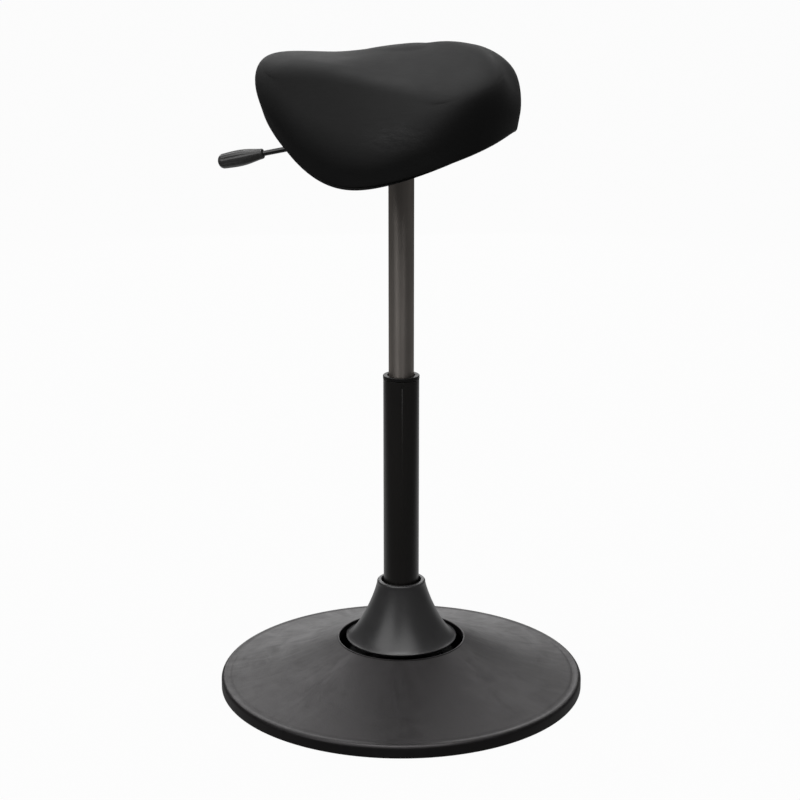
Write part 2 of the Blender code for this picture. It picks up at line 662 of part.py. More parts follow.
def make_rod():
    stub_bore = ROD_STUB_RADIUS + GAP
    groove = ROD_STUB_RADIUS - CLIP_GROOVE_DEPTH
    clip_foot = clip_top - CLIP_THICKNESS
    rod = [
        (0, piston_top),
        (ROD_STUB_RADIUS, piston_top),
        (ROD_STUB_RADIUS, piston_foot),
        (ROD_RADIUS, piston_foot - GAP),
        (ROD_RADIUS, rod_shoulder),
        (ROD_STUB_RADIUS, rod_shoulder),
        (ROD_STUB_RADIUS, clip_top + GAP),
        (groove, clip_top + GAP),
        (groove, clip_foot - GAP),
        (ROD_STUB_RADIUS, clip_foot - GAP),
        (ROD_STUB_RADIUS, rod_foot),
        (0, rod_foot),
    ]
    piece("piston_rod", turned(rod, closed=False), rod_frame, steel)

    race = washer(stub_bore, RACE_RADIUS, upper_race, upper_race + RACE_THICKNESS)
    piece("bearing_upper_race", turned(race), rod_frame, steel)
    stop = washer(stub_bore, CLIP_RADIUS, washer_top - WASHER_THICKNESS, washer_top)
    piece("rod_washer", turned(stop, SMALL_STEPS), rod_frame, steel)
    clip = washer(groove + GAP, CLIP_RADIUS, clip_foot, clip_top)
    piece("rod_clip", turned(clip, SMALL_STEPS), rod_frame, steel)

    buffer_bore = ROD_RADIUS + GAP
    buffer_edge = (BUFFER_RADIUS - buffer_bore) * EDGE_SHARE
    buffer = [
        (buffer_bore, buffer_top),
        (BUFFER_RADIUS - buffer_edge, buffer_top),
        (BUFFER_RADIUS, buffer_top - buffer_edge),
        (BUFFER_RADIUS, rod_shoulder),
        (buffer_bore, rod_shoulder),
    ]
    piece("rubber_buffer", turned(buffer), rod_frame, rubber)

    piston_radius = cylinder_bore - RUNNING_GAP
    seal_bore = piston_radius - SEAL_DEPTH
    seal_foot = (piston_foot + piston_top - SEAL_HEIGHT) / 2
    seal_top = seal_foot + SEAL_HEIGHT
    piston = [
        (stub_bore, piston_top),
        (piston_radius, piston_top),
        (piston_radius, seal_top + GAP),
        (seal_bore - GAP, seal_top + GAP),
        (seal_bore - GAP, seal_foot - GAP),
        (piston_radius, seal_foot - GAP),
        (piston_radius, piston_foot),
        (stub_bore, piston_foot),
    ]
    piece("piston", turned(piston), rod_frame, steel)
    seal_radius = cylinder_bore - GAP
    seal = washer(seal_bore, seal_radius, seal_foot, seal_top)
    piece("piston_seal", turned(seal), rod_frame, rubber)


def make_cylinder():
    head_foot = cylinder_top - CYLINDER_HEAD
    neck = CYLINDER_RADIUS - CYLINDER_TAPER
    pin_bore = PIN_RADIUS + RUNNING_GAP
    cylinder = [
        (pin_bore, cylinder_top),
        (neck, cylinder_top),
        (CYLINDER_RADIUS, taper_foot),
        (CYLINDER_RADIUS, cylinder_foot),
        (cylinder_bore, cylinder_foot),
        (cylinder_bore, head_foot),
        (pin_bore, head_foot),
    ]
    piece("gas_cylinder", turned(cylinder), seat_frame, cylinder_finish)

    fill = cylinder_bore - GAP
    rod_bore = ROD_RADIUS + RUNNING_GAP
    guide = washer(rod_bore, fill, cylinder_foot, guide_top)
    piece("rod_guide", turned(guide), seat_frame, sleeve_plastic)
    valve_top = head_foot - GAP
    valve = washer(pin_bore, fill, valve_top - VALVE_LENGTH, valve_top)
    piece("valve_body", turned(valve), seat_frame, steel)

    pin_foot = button_top - PIN_LENGTH
    button_foot = button_top - BUTTON_THICKNESS
    pin = [(0, button_top), (BUTTON_RADIUS, button_top), (BUTTON_RADIUS, button_foot)]
    pin += [(PIN_RADIUS, button_foot), (PIN_RADIUS, pin_foot), (0, pin_foot)]
    piece("release_pin", turned(pin, SMALL_STEPS, closed=False), pin_frame, steel)


# Seat plate and lever


def make_seat_plate():
    """Channel along Y with outward flanges, drilled for its bolts, the lever's pin and the socket."""
    wall = CHANNEL_WIDTH / 2
    inside = wall - PLATE_THICKNESS
    flange = wall + FLANGE_WIDTH
    flange_foot = plate_top - PLATE_THICKNESS
    half = [(0, web_top), (inside, web_top), (inside, plate_top), (flange, plate_top)]
    half += [(flange, flange_foot), (wall, flange_foot), (wall, web_bottom), (0, web_bottom)]
    outline = half + [(-x, z) for x, z in half[::-1] if x]
    shape = bmesh.new()
    face = shape.faces.new([shape.verts.new((x, -CHANNEL_LENGTH / 2, z)) for x, z in outline])
    grown = bmesh.ops.extrude_face_region(shape, geom=[face])
    far = [item for item in grown["geom"] if isinstance(item, bmesh.types.BMVert)]
    bmesh.ops.translate(shape, verts=far, vec=(0, CHANNEL_LENGTH, 0))
    plate = piece("seat_plate", shape, seat_frame, plate_paint)

    below = Vector((0, 0, -cylinder_foot))
    socket_radius = CYLINDER_RADIUS + GAP + SOCKET_WALL
    mouth = rods([(0, 0)], socket_radius + GAP, web_bottom - GAP, web_top + GAP, TURN_STEPS)
    bmesh.ops.translate(mouth, verts=mouth.verts, vec=below)
    combine(plate, tool("plate_mouth", mouth, seat_frame), "DIFFERENCE")
    holes = rods(seat_bolt_places(), SEAT_BOLT_RADIUS + GAP, flange_foot - GAP, plate_top + GAP)
    bmesh.ops.translate(holes, verts=holes.verts, vec=below)
    combine(plate, tool("plate_bolt_holes", holes, seat_frame), "DIFFERENCE")
    pivot_place = Matrix.Translation((0, -LEVER_ARM, lever_height - cylinder_foot))
    across = pivot_place @ Matrix.Rotation(pi / 2, 4, "Y")
    pivot = rods([(0, 0)], PIVOT_PIN_RADIUS + GAP, -wall - GAP, wall + GAP, SMALL_STEPS)
    bmesh.ops.transform(pivot, matrix=across, verts=pivot.verts)
    combine(plate, tool("plate_pivot_holes", pivot, seat_frame), "DIFFERENCE")

    slope = CYLINDER_TAPER / (cylinder_top - taper_foot)
    top_bore = CYLINDER_RADIUS + GAP - slope * (taper_top - taper_foot)
    socket = [(top_bore, taper_top), (socket_radius, taper_top), (socket_radius, taper_foot)]
    socket += [(CYLINDER_RADIUS + GAP, taper_foot)]
    piece("taper_socket", turned(socket), seat_frame, plate_paint)
    make_seat_bolts(flange_foot)


def seat_bolt_places():
    return [(x, y) for x in (SEAT_BOLT_X, -SEAT_BOLT_X) for y in (SEAT_BOLT_Y, -SEAT_BOLT_Y)]


def make_seat_bolts(flange_foot):
    shell_top = land + SHELL_THICKNESS
    barrel = SEAT_BOLT_RADIUS + GAP + TEE_NUT_BARREL_WALL
    nut_top = shell_top - GAP
    nut_foot = nut_top - TEE_NUT_LENGTH
    flange = nut_top - TEE_NUT_FLANGE
    thread = SEAT_BOLT_RADIUS + GAP
    nut = [(thread, nut_top), (TEE_NUT_RADIUS, nut_top), (TEE_NUT_RADIUS, flange), (barrel, flange)]
    nut += [(barrel, nut_foot), (thread, nut_foot)]
    head_seat = flange_foot - GAP
    for number, place in enumerate(seat_bolt_places(), 1):
        shape = screw(
            place,
            head_seat,
            SEAT_BOLT_RADIUS,
            SEAT_BOLT_HEAD_RADIUS,
            SEAT_BOLT_HEAD_HEIGHT,
            nut_top - head_seat,
        )
        piece(f"seat_bolt_{number}", shape, seat_frame, steel)
        piece(f"tee_nut_{number}", turned(nut, SCREW_STEPS, shift=(*place, 0)), seat_frame, steel)


def make_lever():
    """Bar with a hub on the pivot pin, in axes where the bar runs along -Y from the pivot."""
    outward = Matrix.Rotation(pi / 2, 4, "X")
    sideways = Matrix.Rotation(pi / 2, 4, "Y")
    soft = LEVER_BAR_RADIUS * EDGE_SHARE
    tip = LEVER_REACH + HANDLE_SOCKET_DEPTH - GAP
    bar = [
        (0, tip),
        (LEVER_BAR_RADIUS - soft, tip),
        (LEVER_BAR_RADIUS, tip - soft),
        (LEVER_BAR_RADIUS, soft - LEVER_TAIL),
        (LEVER_BAR_RADIUS - soft, -LEVER_TAIL),
        (0, -LEVER_TAIL),
    ]
    shape = turned(bar, SMALL_STEPS, closed=False, turn=outward)
    lever = piece("lever_rod", shape, lever_frame, lever_paint, in_carrier_axes=True)
    for name, radius, reach, operation in (
        ("lever_hub", LEVER_HUB_RADIUS, LEVER_HUB_WIDTH / 2, "UNION"),
        ("lever_bore", PIVOT_PIN_RADIUS + GAP, LEVER_HUB_WIDTH / 2 + GAP, "DIFFERENCE"),
    ):
        hub = rods([(0, 0)], radius, -reach, reach, TURN_STEPS)
        bmesh.ops.transform(hub, matrix=sideways, verts=hub.verts)
        combine(lever, tool(name, hub, lever_frame), operation)

    start, end = LEVER_REACH, LEVER_REACH + HANDLE_LENGTH
    socket = LEVER_BAR_RADIUS + GAP
    grip = (HANDLE_GRIP_RADIUS, end - HANDLE_NOSE)
    neck = (HANDLE_NECK_RADIUS, start + HANDLE_SHOULDER)
    neck_pull = (neck[0], neck[1] + HANDLE_NECK_PULL)
    grip_pull = (grip[0], grip[1] - HANDLE_GRIP_PULL)
    swell = bezier(neck, neck_pull, grip_pull, grip, 5)
    nose = arc((0, 0), 1.0, 0, pi / 2, 5)[1:-1]
    nose = [(out * HANDLE_GRIP_RADIUS, grip[1] + along * HANDLE_NOSE) for out, along in nose]
    handle = [(socket, start), (HANDLE_NECK_RADIUS - HANDLE_SHOULDER, start)] + swell + nose
    handle += [(0, end), (0, start + HANDLE_SOCKET_DEPTH), (socket, start + HANDLE_SOCKET_DEPTH)]
    shape = turned(handle, SMALL_STEPS, turn=outward)
    piece("lever_handle", shape, lever_frame, handle_plastic, in_carrier_axes=True)
    make_pivot_pin(sideways)


def make_pivot_pin(sideways):
    wall = CHANNEL_WIDTH / 2
    place = (0, -LEVER_ARM, lever_height)
    groove = PIVOT_PIN_RADIUS - PIVOT_GROOVE_DEPTH
    clip_near = wall + GAP
    clip_far = clip_near + PIVOT_CLIP_THICKNESS
    end = clip_far + PIVOT_CLIP_THICKNESS
    head = -wall - GAP
    pin = [
        (0, head - PIVOT_PIN_HEAD),
        (PIVOT_PIN_HEAD_RADIUS, head - PIVOT_PIN_HEAD),
        (PIVOT_PIN_HEAD_RADIUS, head),
        (PIVOT_PIN_RADIUS, head),
        (PIVOT_PIN_RADIUS, clip_near - GAP),
        (groove, clip_near - GAP),
        (groove, clip_far + GAP),
        (PIVOT_PIN_RADIUS, clip_far + GAP),
        (PIVOT_PIN_RADIUS, end),
        (0, end),
    ]
    shape = turned(pin, SMALL_STEPS, closed=False, turn=sideways, shift=place)
    piece("lever_pivot_pin", shape, seat_frame, steel)
    clip = washer(groove + GAP, PIVOT_CLIP_RADIUS, clip_near, clip_far)
    piece("pivot_clip", turned(clip, SMALL_STEPS, turn=sideways, shift=place), seat_frame, steel)


# Seat

seat_angles = [2 * pi * step / SEAT_STEPS for step in range(SEAT_STEPS)]


def wave(stations):
    """Smooth even curve round the seat through values at equal angles from the nose to the rear."""
    last = len(stations) - 1
    shares = []
    for order in range(last + 1):
        total = 0.0
        for index, value in enumerate(stations):
            weight = 0.5 if index in (0, last) else 1.0
            total += weight * value * cos(order * index * pi / last)
        shares.append(total * (1 if order in (0, last) else 2) / last)
    return lambda angle: sum(share * cos(order * angle) for order, share in enumerate(shares))


reach_at = wave((NOSE_REACH, FRONT_QUARTER_REACH, FLAP_REACH, REAR_QUARTER_REACH, REAR_REACH))
crease_share_at = wave(CREASE_SHARES)
crease_height_at = wave(CREASE_HEIGHTS)
rim_height_at = wave(RIM_HEIGHTS)
hem_height_at = wave(HEM_HEIGHTS)
crease_rounding_at = wave(CREASE_ROUNDINGS)
rim_rounding_at = wave(RIM_ROUNDINGS)


def towards(start, end, distance):
    """Point at a distance from the start on the way to the end, short of half way."""
    run = end - start
    return start + run * min(distance / run.length, CORNER_LIMIT)


def bend(start, pull, end, steps):
    """Points on a curve from start to end, without its start."""
    shares = [step / steps for step in range(1, steps + 1)]
    return [start * (1 - t) ** 2 + pull * (2 * t * (1 - t)) + end * (t * t) for t in shares]


def section(angle, lowest):
    """Half section from the crown to a height above the hem, as (reach, height) points."""
    reach = reach_at(angle)
    crown = Vector((0, CROWN_HEIGHT))
    crease = Vector((reach * crease_share_at(angle), crease_height_at(angle)))
    rim = Vector((reach, rim_height_at(angle)))
    hem = Vector((reach - WALL_TUCK, hem_height_at(angle)))
    swell = crown.lerp(crease, 0.5)
    swell.y = CROWN_HEIGHT + (crease.y - CROWN_HEIGHT) * PANEL_SWELL - NOSE_DIP * cos(angle)
    swell_cut = crease.x * SWELL_SHARE
    swell_start = towards(swell, crown, swell_cut)
    level = swell_start.x / 2
    crown_pull = Vector((level, CROWN_HEIGHT - CROWN_TILT * level * cos(angle)))
    swell_end = towards(swell, crease, swell_cut)
    crease_start = towards(crease, swell, crease_rounding_at(angle))
    crease_end = towards(crease, rim, crease_rounding_at(angle))
    rim_start = towards(rim, crease, rim_rounding_at(angle))
    rim_end = towards(rim, hem, rim_rounding_at(angle))
    foot = hem.lerp(rim_end, lowest / (rim_end.y - hem.y))
    points = bend(crown, crown_pull, swell_start, 2)
    points += bend(swell_start, swell, swell_end, 2)
    points += [crease_start] + bend(crease_start, crease, crease_end, 3)
    points += [crease_end.lerp(rim_start, 0.5), rim_start]
    points += bend(rim_start, rim, rim_end, 4)
    return points + [rim_end.lerp(foot, 0.5), foot]


def seat_point(angle, reach, height):
    return Vector((reach * sin(angle), SEAT_CENTRE_Y - reach * cos(angle), land + height))


def seat_ring(reach, height):
    """One ring of points from two functions of the angle."""
    return [seat_point(angle, reach(angle), height(angle)) for angle in seat_angles]


def outer_rings(lowest=0.0):
    """Rings of the seat's outer face from the crown down to a height above the hem."""
    sections = [section(angle, lowest) for angle in seat_angles]
    rings = [[seat_point(0, 0, CROWN_HEIGHT)]]
    for ring in zip(*sections):
        rings.append([seat_point(angle, *point) for angle, point in zip(seat_angles, ring)])
    return rings


def hem_reach(angle):
    return reach_at(angle) - WALL_TUCK


def underside(angle, reach):
    """Height of the shell's lower face: flat in the middle, drooping towards the outline."""
    t = max(0.0, (reach - LAND_RADIUS) / (hem_reach(angle) - LAND_RADIUS))
    edge = hem_height_at(angle) + HEM_GAP + SKIN
    return edge * t * t * (1 + UNDERSIDE_CURVE * (1 - t))


def under_ring(inset, share, lift):
    """Ring along the shell's lower face, at a share of the way from the land to the wall."""

    def reach(angle):
        return LAND_RADIUS + (hem_reach(angle) - inset - LAND_RADIUS) * share

    return seat_ring(reach, lambda angle: lift + underside(angle, reach(angle)))


def inward(rings, distance):
    """The rings moved square to the surface, into the seat."""
    moved = [[rings[0][0] - Vector((0, 0, distance))]]
    count = len(rings[-1])
    for index in range(1, len(rings)):
        before = rings[index - 1]
        after = rings[min(index + 1, len(rings) - 1)]
        ring = []
        for step, point in enumerate(rings[index]):
            along = rings[index][(step + 1) % count] - rings[index][step - 1]
            across = after[step] - before[step if len(before) > 1 else 0]
            ring.append(point + along.cross(across).normalized() * distance)
        moved.append(ring)
    return moved


under_shares = [step / UNDER_STEPS for step in range(UNDER_STEPS, -1, -1)]


def make_seat_shell():
    centre_top = [seat_point(0, 0, SHELL_THICKNESS)]
    centre_foot = [seat_point(0, 0, 0)]
    upper = [under_ring(SHELL_INSET, share, SHELL_THICKNESS) for share in under_shares[::-1]]
    lower = [under_ring(SHELL_INSET, share, 0.0) for share in under_shares]
    shape = lofted([centre_top] + upper + lower + [centre_foot])
    shell = piece("seat_shell", shape, seat_frame, shell_plastic)
    below = Vector((0, 0, -cylinder_foot))
    shell_top = land + SHELL_THICKNESS
    barrel = SEAT_BOLT_RADIUS + GAP + TEE_NUT_BARREL_WALL + GAP
    sink = shell_top - TEE_NUT_FLANGE - GAP * 2
    for name, radius, low, high in (
        ("tee_nut_holes", barrel, land - GAP, shell_top),
        ("tee_nut_sinks", TEE_NUT_RADIUS + GAP, sink, shell_top + GAP),
    ):
        holes = rods(seat_bolt_places(), radius, low, high)
        bmesh.ops.translate(holes, verts=holes.verts, vec=below)
        combine(shell, tool(name, holes, seat_frame), "DIFFERENCE")


def make_under_cover():
    """Thin closing panel below the shell, open in the middle for the seat plate."""
    top_lift = -HEM_GAP * 2 - SKIN
    foot_lift = top_lift - UNDER_COVER_THICKNESS
    shares = under_shares[:-1]
    upper = [under_ring(UNDER_COVER_INSET, share, top_lift) for share in shares[::-1]]
    lower = [under_ring(UNDER_COVER_INSET, share, foot_lift) for share in shares]
    piece("under_cover", lofted(upper + lower, closed=True), seat_frame, shell_plastic)


def make_cushion():
    """Foam on the shell, and the skin drawn over it and turned in below the shell's edge."""
    outer = outer_rings()
    inner = inward(outer, SKIN)
    hem_share = HEM_WIDTH / (FLAP_REACH - LAND_RADIUS)
    hem_shares = (1 - hem_share / 2, 1 - hem_share)
    hem_outer = [under_ring(0.0, share, -HEM_GAP - SKIN) for share in hem_shares]
    hem_inner = [under_ring(0.0, share, -HEM_GAP) for share in hem_shares[::-1]]
    hem_inner.append(under_ring(SKIN, 1.0, -HEM_GAP))
    skin = outer + hem_outer + hem_inner + inner[:-1][::-1]
    piece("seat_cover", lofted(skin), seat_frame, leatherette)

    shell_edge = SHELL_THICKNESS + SKIN + HEM_GAP * 2
    filling = inward(outer_rings(shell_edge), SKIN + GAP)
    filling += [under_ring(SHELL_INSET, share, SHELL_THICKNESS + GAP) for share in under_shares]
    filling.append([seat_point(0, 0, SHELL_THICKNESS + GAP)])
    piece("seat_foam", lofted(filling), seat_frame, foam)


make_base()
make_column()
make_ball_cage()
make_rod()
make_cylinder()
make_seat_plate()
make_lever()
make_seat_shell()
make_under_cover()
make_cushion()
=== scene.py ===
"""Looks of the saddle stool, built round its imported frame.

Metres, in the frame's own axes: the floor is z = 0, the column stands on Z, the seat's nose and
the lever point along -Y. The camera stands where the photograph was taken.
"""

import json
from math import cos, exp, pi, radians, sin

import bmesh
import bpy
from mathutils import Matrix, Vector


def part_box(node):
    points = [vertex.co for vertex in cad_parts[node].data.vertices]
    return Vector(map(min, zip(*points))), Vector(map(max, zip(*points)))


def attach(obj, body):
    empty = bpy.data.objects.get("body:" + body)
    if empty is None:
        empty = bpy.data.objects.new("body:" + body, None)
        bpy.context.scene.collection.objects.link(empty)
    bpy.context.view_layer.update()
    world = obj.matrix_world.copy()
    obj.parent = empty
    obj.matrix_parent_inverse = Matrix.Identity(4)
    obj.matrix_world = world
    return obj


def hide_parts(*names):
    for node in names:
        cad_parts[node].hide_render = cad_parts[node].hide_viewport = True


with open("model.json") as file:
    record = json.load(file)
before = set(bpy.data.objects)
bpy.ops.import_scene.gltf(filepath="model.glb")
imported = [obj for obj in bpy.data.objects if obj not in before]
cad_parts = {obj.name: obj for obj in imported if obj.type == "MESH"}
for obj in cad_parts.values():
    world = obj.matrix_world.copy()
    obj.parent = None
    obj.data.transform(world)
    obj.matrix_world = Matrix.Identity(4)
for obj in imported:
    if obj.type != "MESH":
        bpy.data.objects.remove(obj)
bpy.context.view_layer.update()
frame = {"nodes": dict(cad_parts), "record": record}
nodes = frame["nodes"]

# Camera, from a fit to the round base, the tubes and the seat in the photograph
CAMERA_LENS = 81.69
CAMERA_SENSOR = 36.0
CAMERA_DISTANCE = 1.9516
CAMERA_HEIGHT = 0.8464
CAMERA_PITCH = radians(14.66)
CAMERA_YAW = radians(13.2)
CAMERA_SIDESTEP = 0.0014

# Base and boot, with the part's sizes and fine edges
COVER_HOLE_RADIUS = 0.071
COVER_HOLE_SLOPE = radians(27)
COVER_RIM_SLOPE = radians(9)
COVER_CURVE_PULL = 0.362
COVER_WALL = 0.003
COVER_LIP_DEPTH = 0.008
COVER_LIP_ROUNDING = 0.0012
COVER_LEDGE_WIDTH = 0.016
COVER_LEDGE_HEIGHT = 0.0126
COVER_RIM_TOP = 0.0145
RIM_ROUNDING = 0.004
RIM_BEAD_WIDTH = 0.0052
RIM_BEAD_RISE = 0.0004
RIM_BEAD_EXTRA = 0.0004  # bead's rounding beyond the rim's own
RIM_BEAD_START = radians(105)
COVER_FOOT_ROUNDING = 0.001
FLOOR_RING_WIDTH = 0.012
FLOOR_RING_BEVEL = 0.001
BOOT_NECK_RADIUS = 0.026
BOOT_TOP_DROP = 0.006  # lip below the top of the flare's own curve
BOOT_LIP_ROUNDING = 0.0026
BOOT_WALL = 0.0024
BOOT_MOUTH_GAP = 0.0026
BOOT_WEB_DEPTH = 0.0172  # web's upper face below the lip
BOOT_WEB = 0.004
BOOT_NECK_FLARE = 0.0014
BOOT_NECK_DROP = 0.0233
BOOT_SKIRT_REACH = 0.0118
BOOT_SKIRT_RISE = 0.0041
BOOT_FOOT_ROUNDING = 0.0007
BOOT_FOOT_START = radians(70)
BOOT_FOOT_WIDTH = 0.00624
BOOT_MOUTH_ROUNDING = 0.0008

# Column
GAP = 0.0003
TUBE_WALL = 0.002
TUBE_EDGE = 0.0004
TUBE_TAPER_CUT = 0.0012
TUBE_TAPER_LENGTH = 0.0835
TUBE_FLOOR = 0.003
TUBE_FLOOR_BORE = 0.0045
CRIMP_DROP = 0.0070  # crimp mark below the tube's mouth
CRIMP_RADIUS = 0.0011
CRIMP_STANDOFF = 0.000605  # middle of the mark outside the tube's face
CRIMP_SIDESTEP = 0.001
COLLAR_HEIGHT = 0.0041
COLLAR_ROUNDING = 0.0008
COLLAR_SEAM = 0.0004
MOUTH_GAP = 0.0015
MOUTH_DEPTH = 0.003
MOUTH_ROUNDING = 0.0005
SLEEVE_GAP = 0.0005
CYLINDER_WALL = 0.002
CYLINDER_TAPER = 0.0009
CYLINDER_HEAD = 0.0035
PIN_BORE = 0.0035

# Lever
LEVER_SLOPE = radians(12)
LEVER_BAR_RADIUS = 0.003
LEVER_BAR_BEVEL = 0.0009
LEVER_TAIL = 0.036
LEVER_REACH = 0.1274
LEVER_HUB_RADIUS = 0.0065
LEVER_HUB_WIDTH = 0.018
LEVER_HUB_BEVEL = 0.0006
LEVER_BORE = 0.0028
HANDLE_LENGTH = 0.053
HANDLE_NECK_RADIUS = 0.0056
HANDLE_BELLY_RADIUS = 0.0091
HANDLE_BELLY_SHARE = 0.56  # of the length, from the neck
HANDLE_END_RADIUS = 0.0083
HANDLE_SOCKET_DEPTH = 0.022
HANDLE_SHOULDER = 0.0014
HANDLE_NOSE = 0.0066
HANDLE_NECK_PULL = 0.010
HANDLE_NECK_RISE = 0.0012
HANDLE_TIP_RISE = 0.0004
HANDLE_BELLY_PULL = 0.012
FLUTE_COUNT = 8
FLUTE_DEPTH = 0.0007
FLUTE_WIDTH = radians(7)
FLUTE_TURN = radians(21)
FLUTE_START = 0.12  # shares of the handle's length, from the neck
FLUTE_RISE = 0.45
FLUTE_END = 0.93
FLUTE_FALL = 0.06

# Seat, by stations from the nose to the rear
SEAT_CENTRE_Y = 0.003
SEAT_REACHES = (0.164, 0.143, 0.133, 0.136, 0.126)
CROWN_HEIGHT = 0.0645
CROWN_TILT = 0.12  # slope of the crown down to the nose
PANEL_SWELL = 0.36  # share of the fall from crown to crease reached half way
NOSE_DIP = 0.0075  # panel lower ahead of the crown and higher behind it, half way out
SWELL_SHARE = 0.22  # of the crease's reach, rounded on each side of the swell
CREASE_SHARES = (0.91, 0.84, 0.79, 0.76, 0.86, 0.92, 0.78)  # of the reach
CREASE_HEIGHTS = (0.055, 0.050, 0.045, 0.035, 0.029, 0.037, 0.060)
REAR_FILL = 0.005  # crease higher on each side of the rear, so that it arches
REAR_FILL_START = radians(145)
REAR_FILL_PEAK = 4 / 27  # of the curve that the fill follows
EASE_WIDTH = 0.012  # panel heights averaged over this width round the crown
EASE_LIMIT = 0.45  # radians
EASE_END = 46  # rings from the crown to the end of the easing
EASE_FADE = 16  # rings over which the easing fades out
EASE_TAIL = 3  # widths that the averaging takes in on each side
CREASE_ROUNDINGS = (0.024, 0.015, 0.020, 0.034)
RIM_HEIGHTS = (0.033, 0.007, -0.029, -0.038, -0.004, 0.015, 0.007)
RIM_ROUNDINGS = (0.020, 0.027, 0.027)
HEM_HEIGHTS = (-0.002, -0.050, -0.070, -0.044, -0.032)
WALL_TUCKS = (0.012, 0.004, 0.008)  # wall drawn in at its foot
HEM_ROLLS = (0.004, 0.002, 0.010)  # rounding from the wall to the underside
CORNER_LIMIT = 0.48  # share of a straight run that one rounded corner can take
LAND_RADIUS = 0.075
UNDERSIDE_CURVE = 0.8
HEM_GAP = 0.0008
SKIN = 0.0015
HEM_SHARES = (0.96, 0.9, 0.8)  # of the way from the land to the rolled hem
SHELL_SHARES = (0.8, 0.6, 0.4, 0.2, 0.0)
SHELL_INSET = 0.004
SHELL_TOP = 0.0085
UNDER_COVER_THICKNESS = 0.002
LIP_THICKNESS = 0.0022
LIP_AND_SHADE_DROPS = (0.0008, 0.0020, -0.0060)  # lip below the cover's hem, drawn up at the rear; the dark lip is also painted shade, standing in for the shadow under the hem
WEAR_AND_HIGHLIGHT_SPOT = (0.130, 0.024, 0.640)  # middle of the lighter patch on the right half: partly wear, partly a painted highlight where the rim's flare catches the light
WEAR_AND_HIGHLIGHT_SPREAD = (0.030, 0.044, 0.020)
WEAR_AND_HIGHLIGHT_CORE = 0.2  # share of the spread that is lightened in full
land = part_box("seat_plate")[1].z + GAP

# Steps round turned pieces
SEAT_STEPS = 144
TURN_STEPS = 96
BASE_STEPS = 180
BOOT_STEPS = 128
BAR_STEPS = 40
HUB_STEPS = 48
BORE_STEPS = 32
GRIP_STEPS = 192

# Steps along profiles
ARC_STEPS = 8
EDGE_STEPS = 4
CONE_STEPS = 60
BEAD_STEPS = 12
FLARE_STEPS = 48
BOOT_FOOT_STEPS = 6
NECK_STEPS = 30
BELLY_STEPS = 16
NOSE_STEPS = 14
SHOULDER_STEPS = 5
SECTION_STEPS = (12, 10, 6, 12, 12, 14, 8, 6)  # for the runs from the crown to the hem
PANEL_STEPS = 20
PANEL_OPENING = 3  # steps that the panel's opening takes up

# Shading
SMOOTH_ANGLE = radians(35)
MOULDED_SMOOTH_ANGLE = radians(50)
CUSHION_SMOOTH_ANGLE = radians(60)
MERGE_DISTANCE = 1e-6
CLOUD_RANGE = (0.35, 0.7)  # noise values that a tint runs over
GLOSS_RANGE = (0.3, 0.7)  # noise values that a roughness runs over
MIX_FIRST, MIX_SECOND, MIX_RESULT = 6, 7, 2  # colour sockets of a mix node


# Node materials


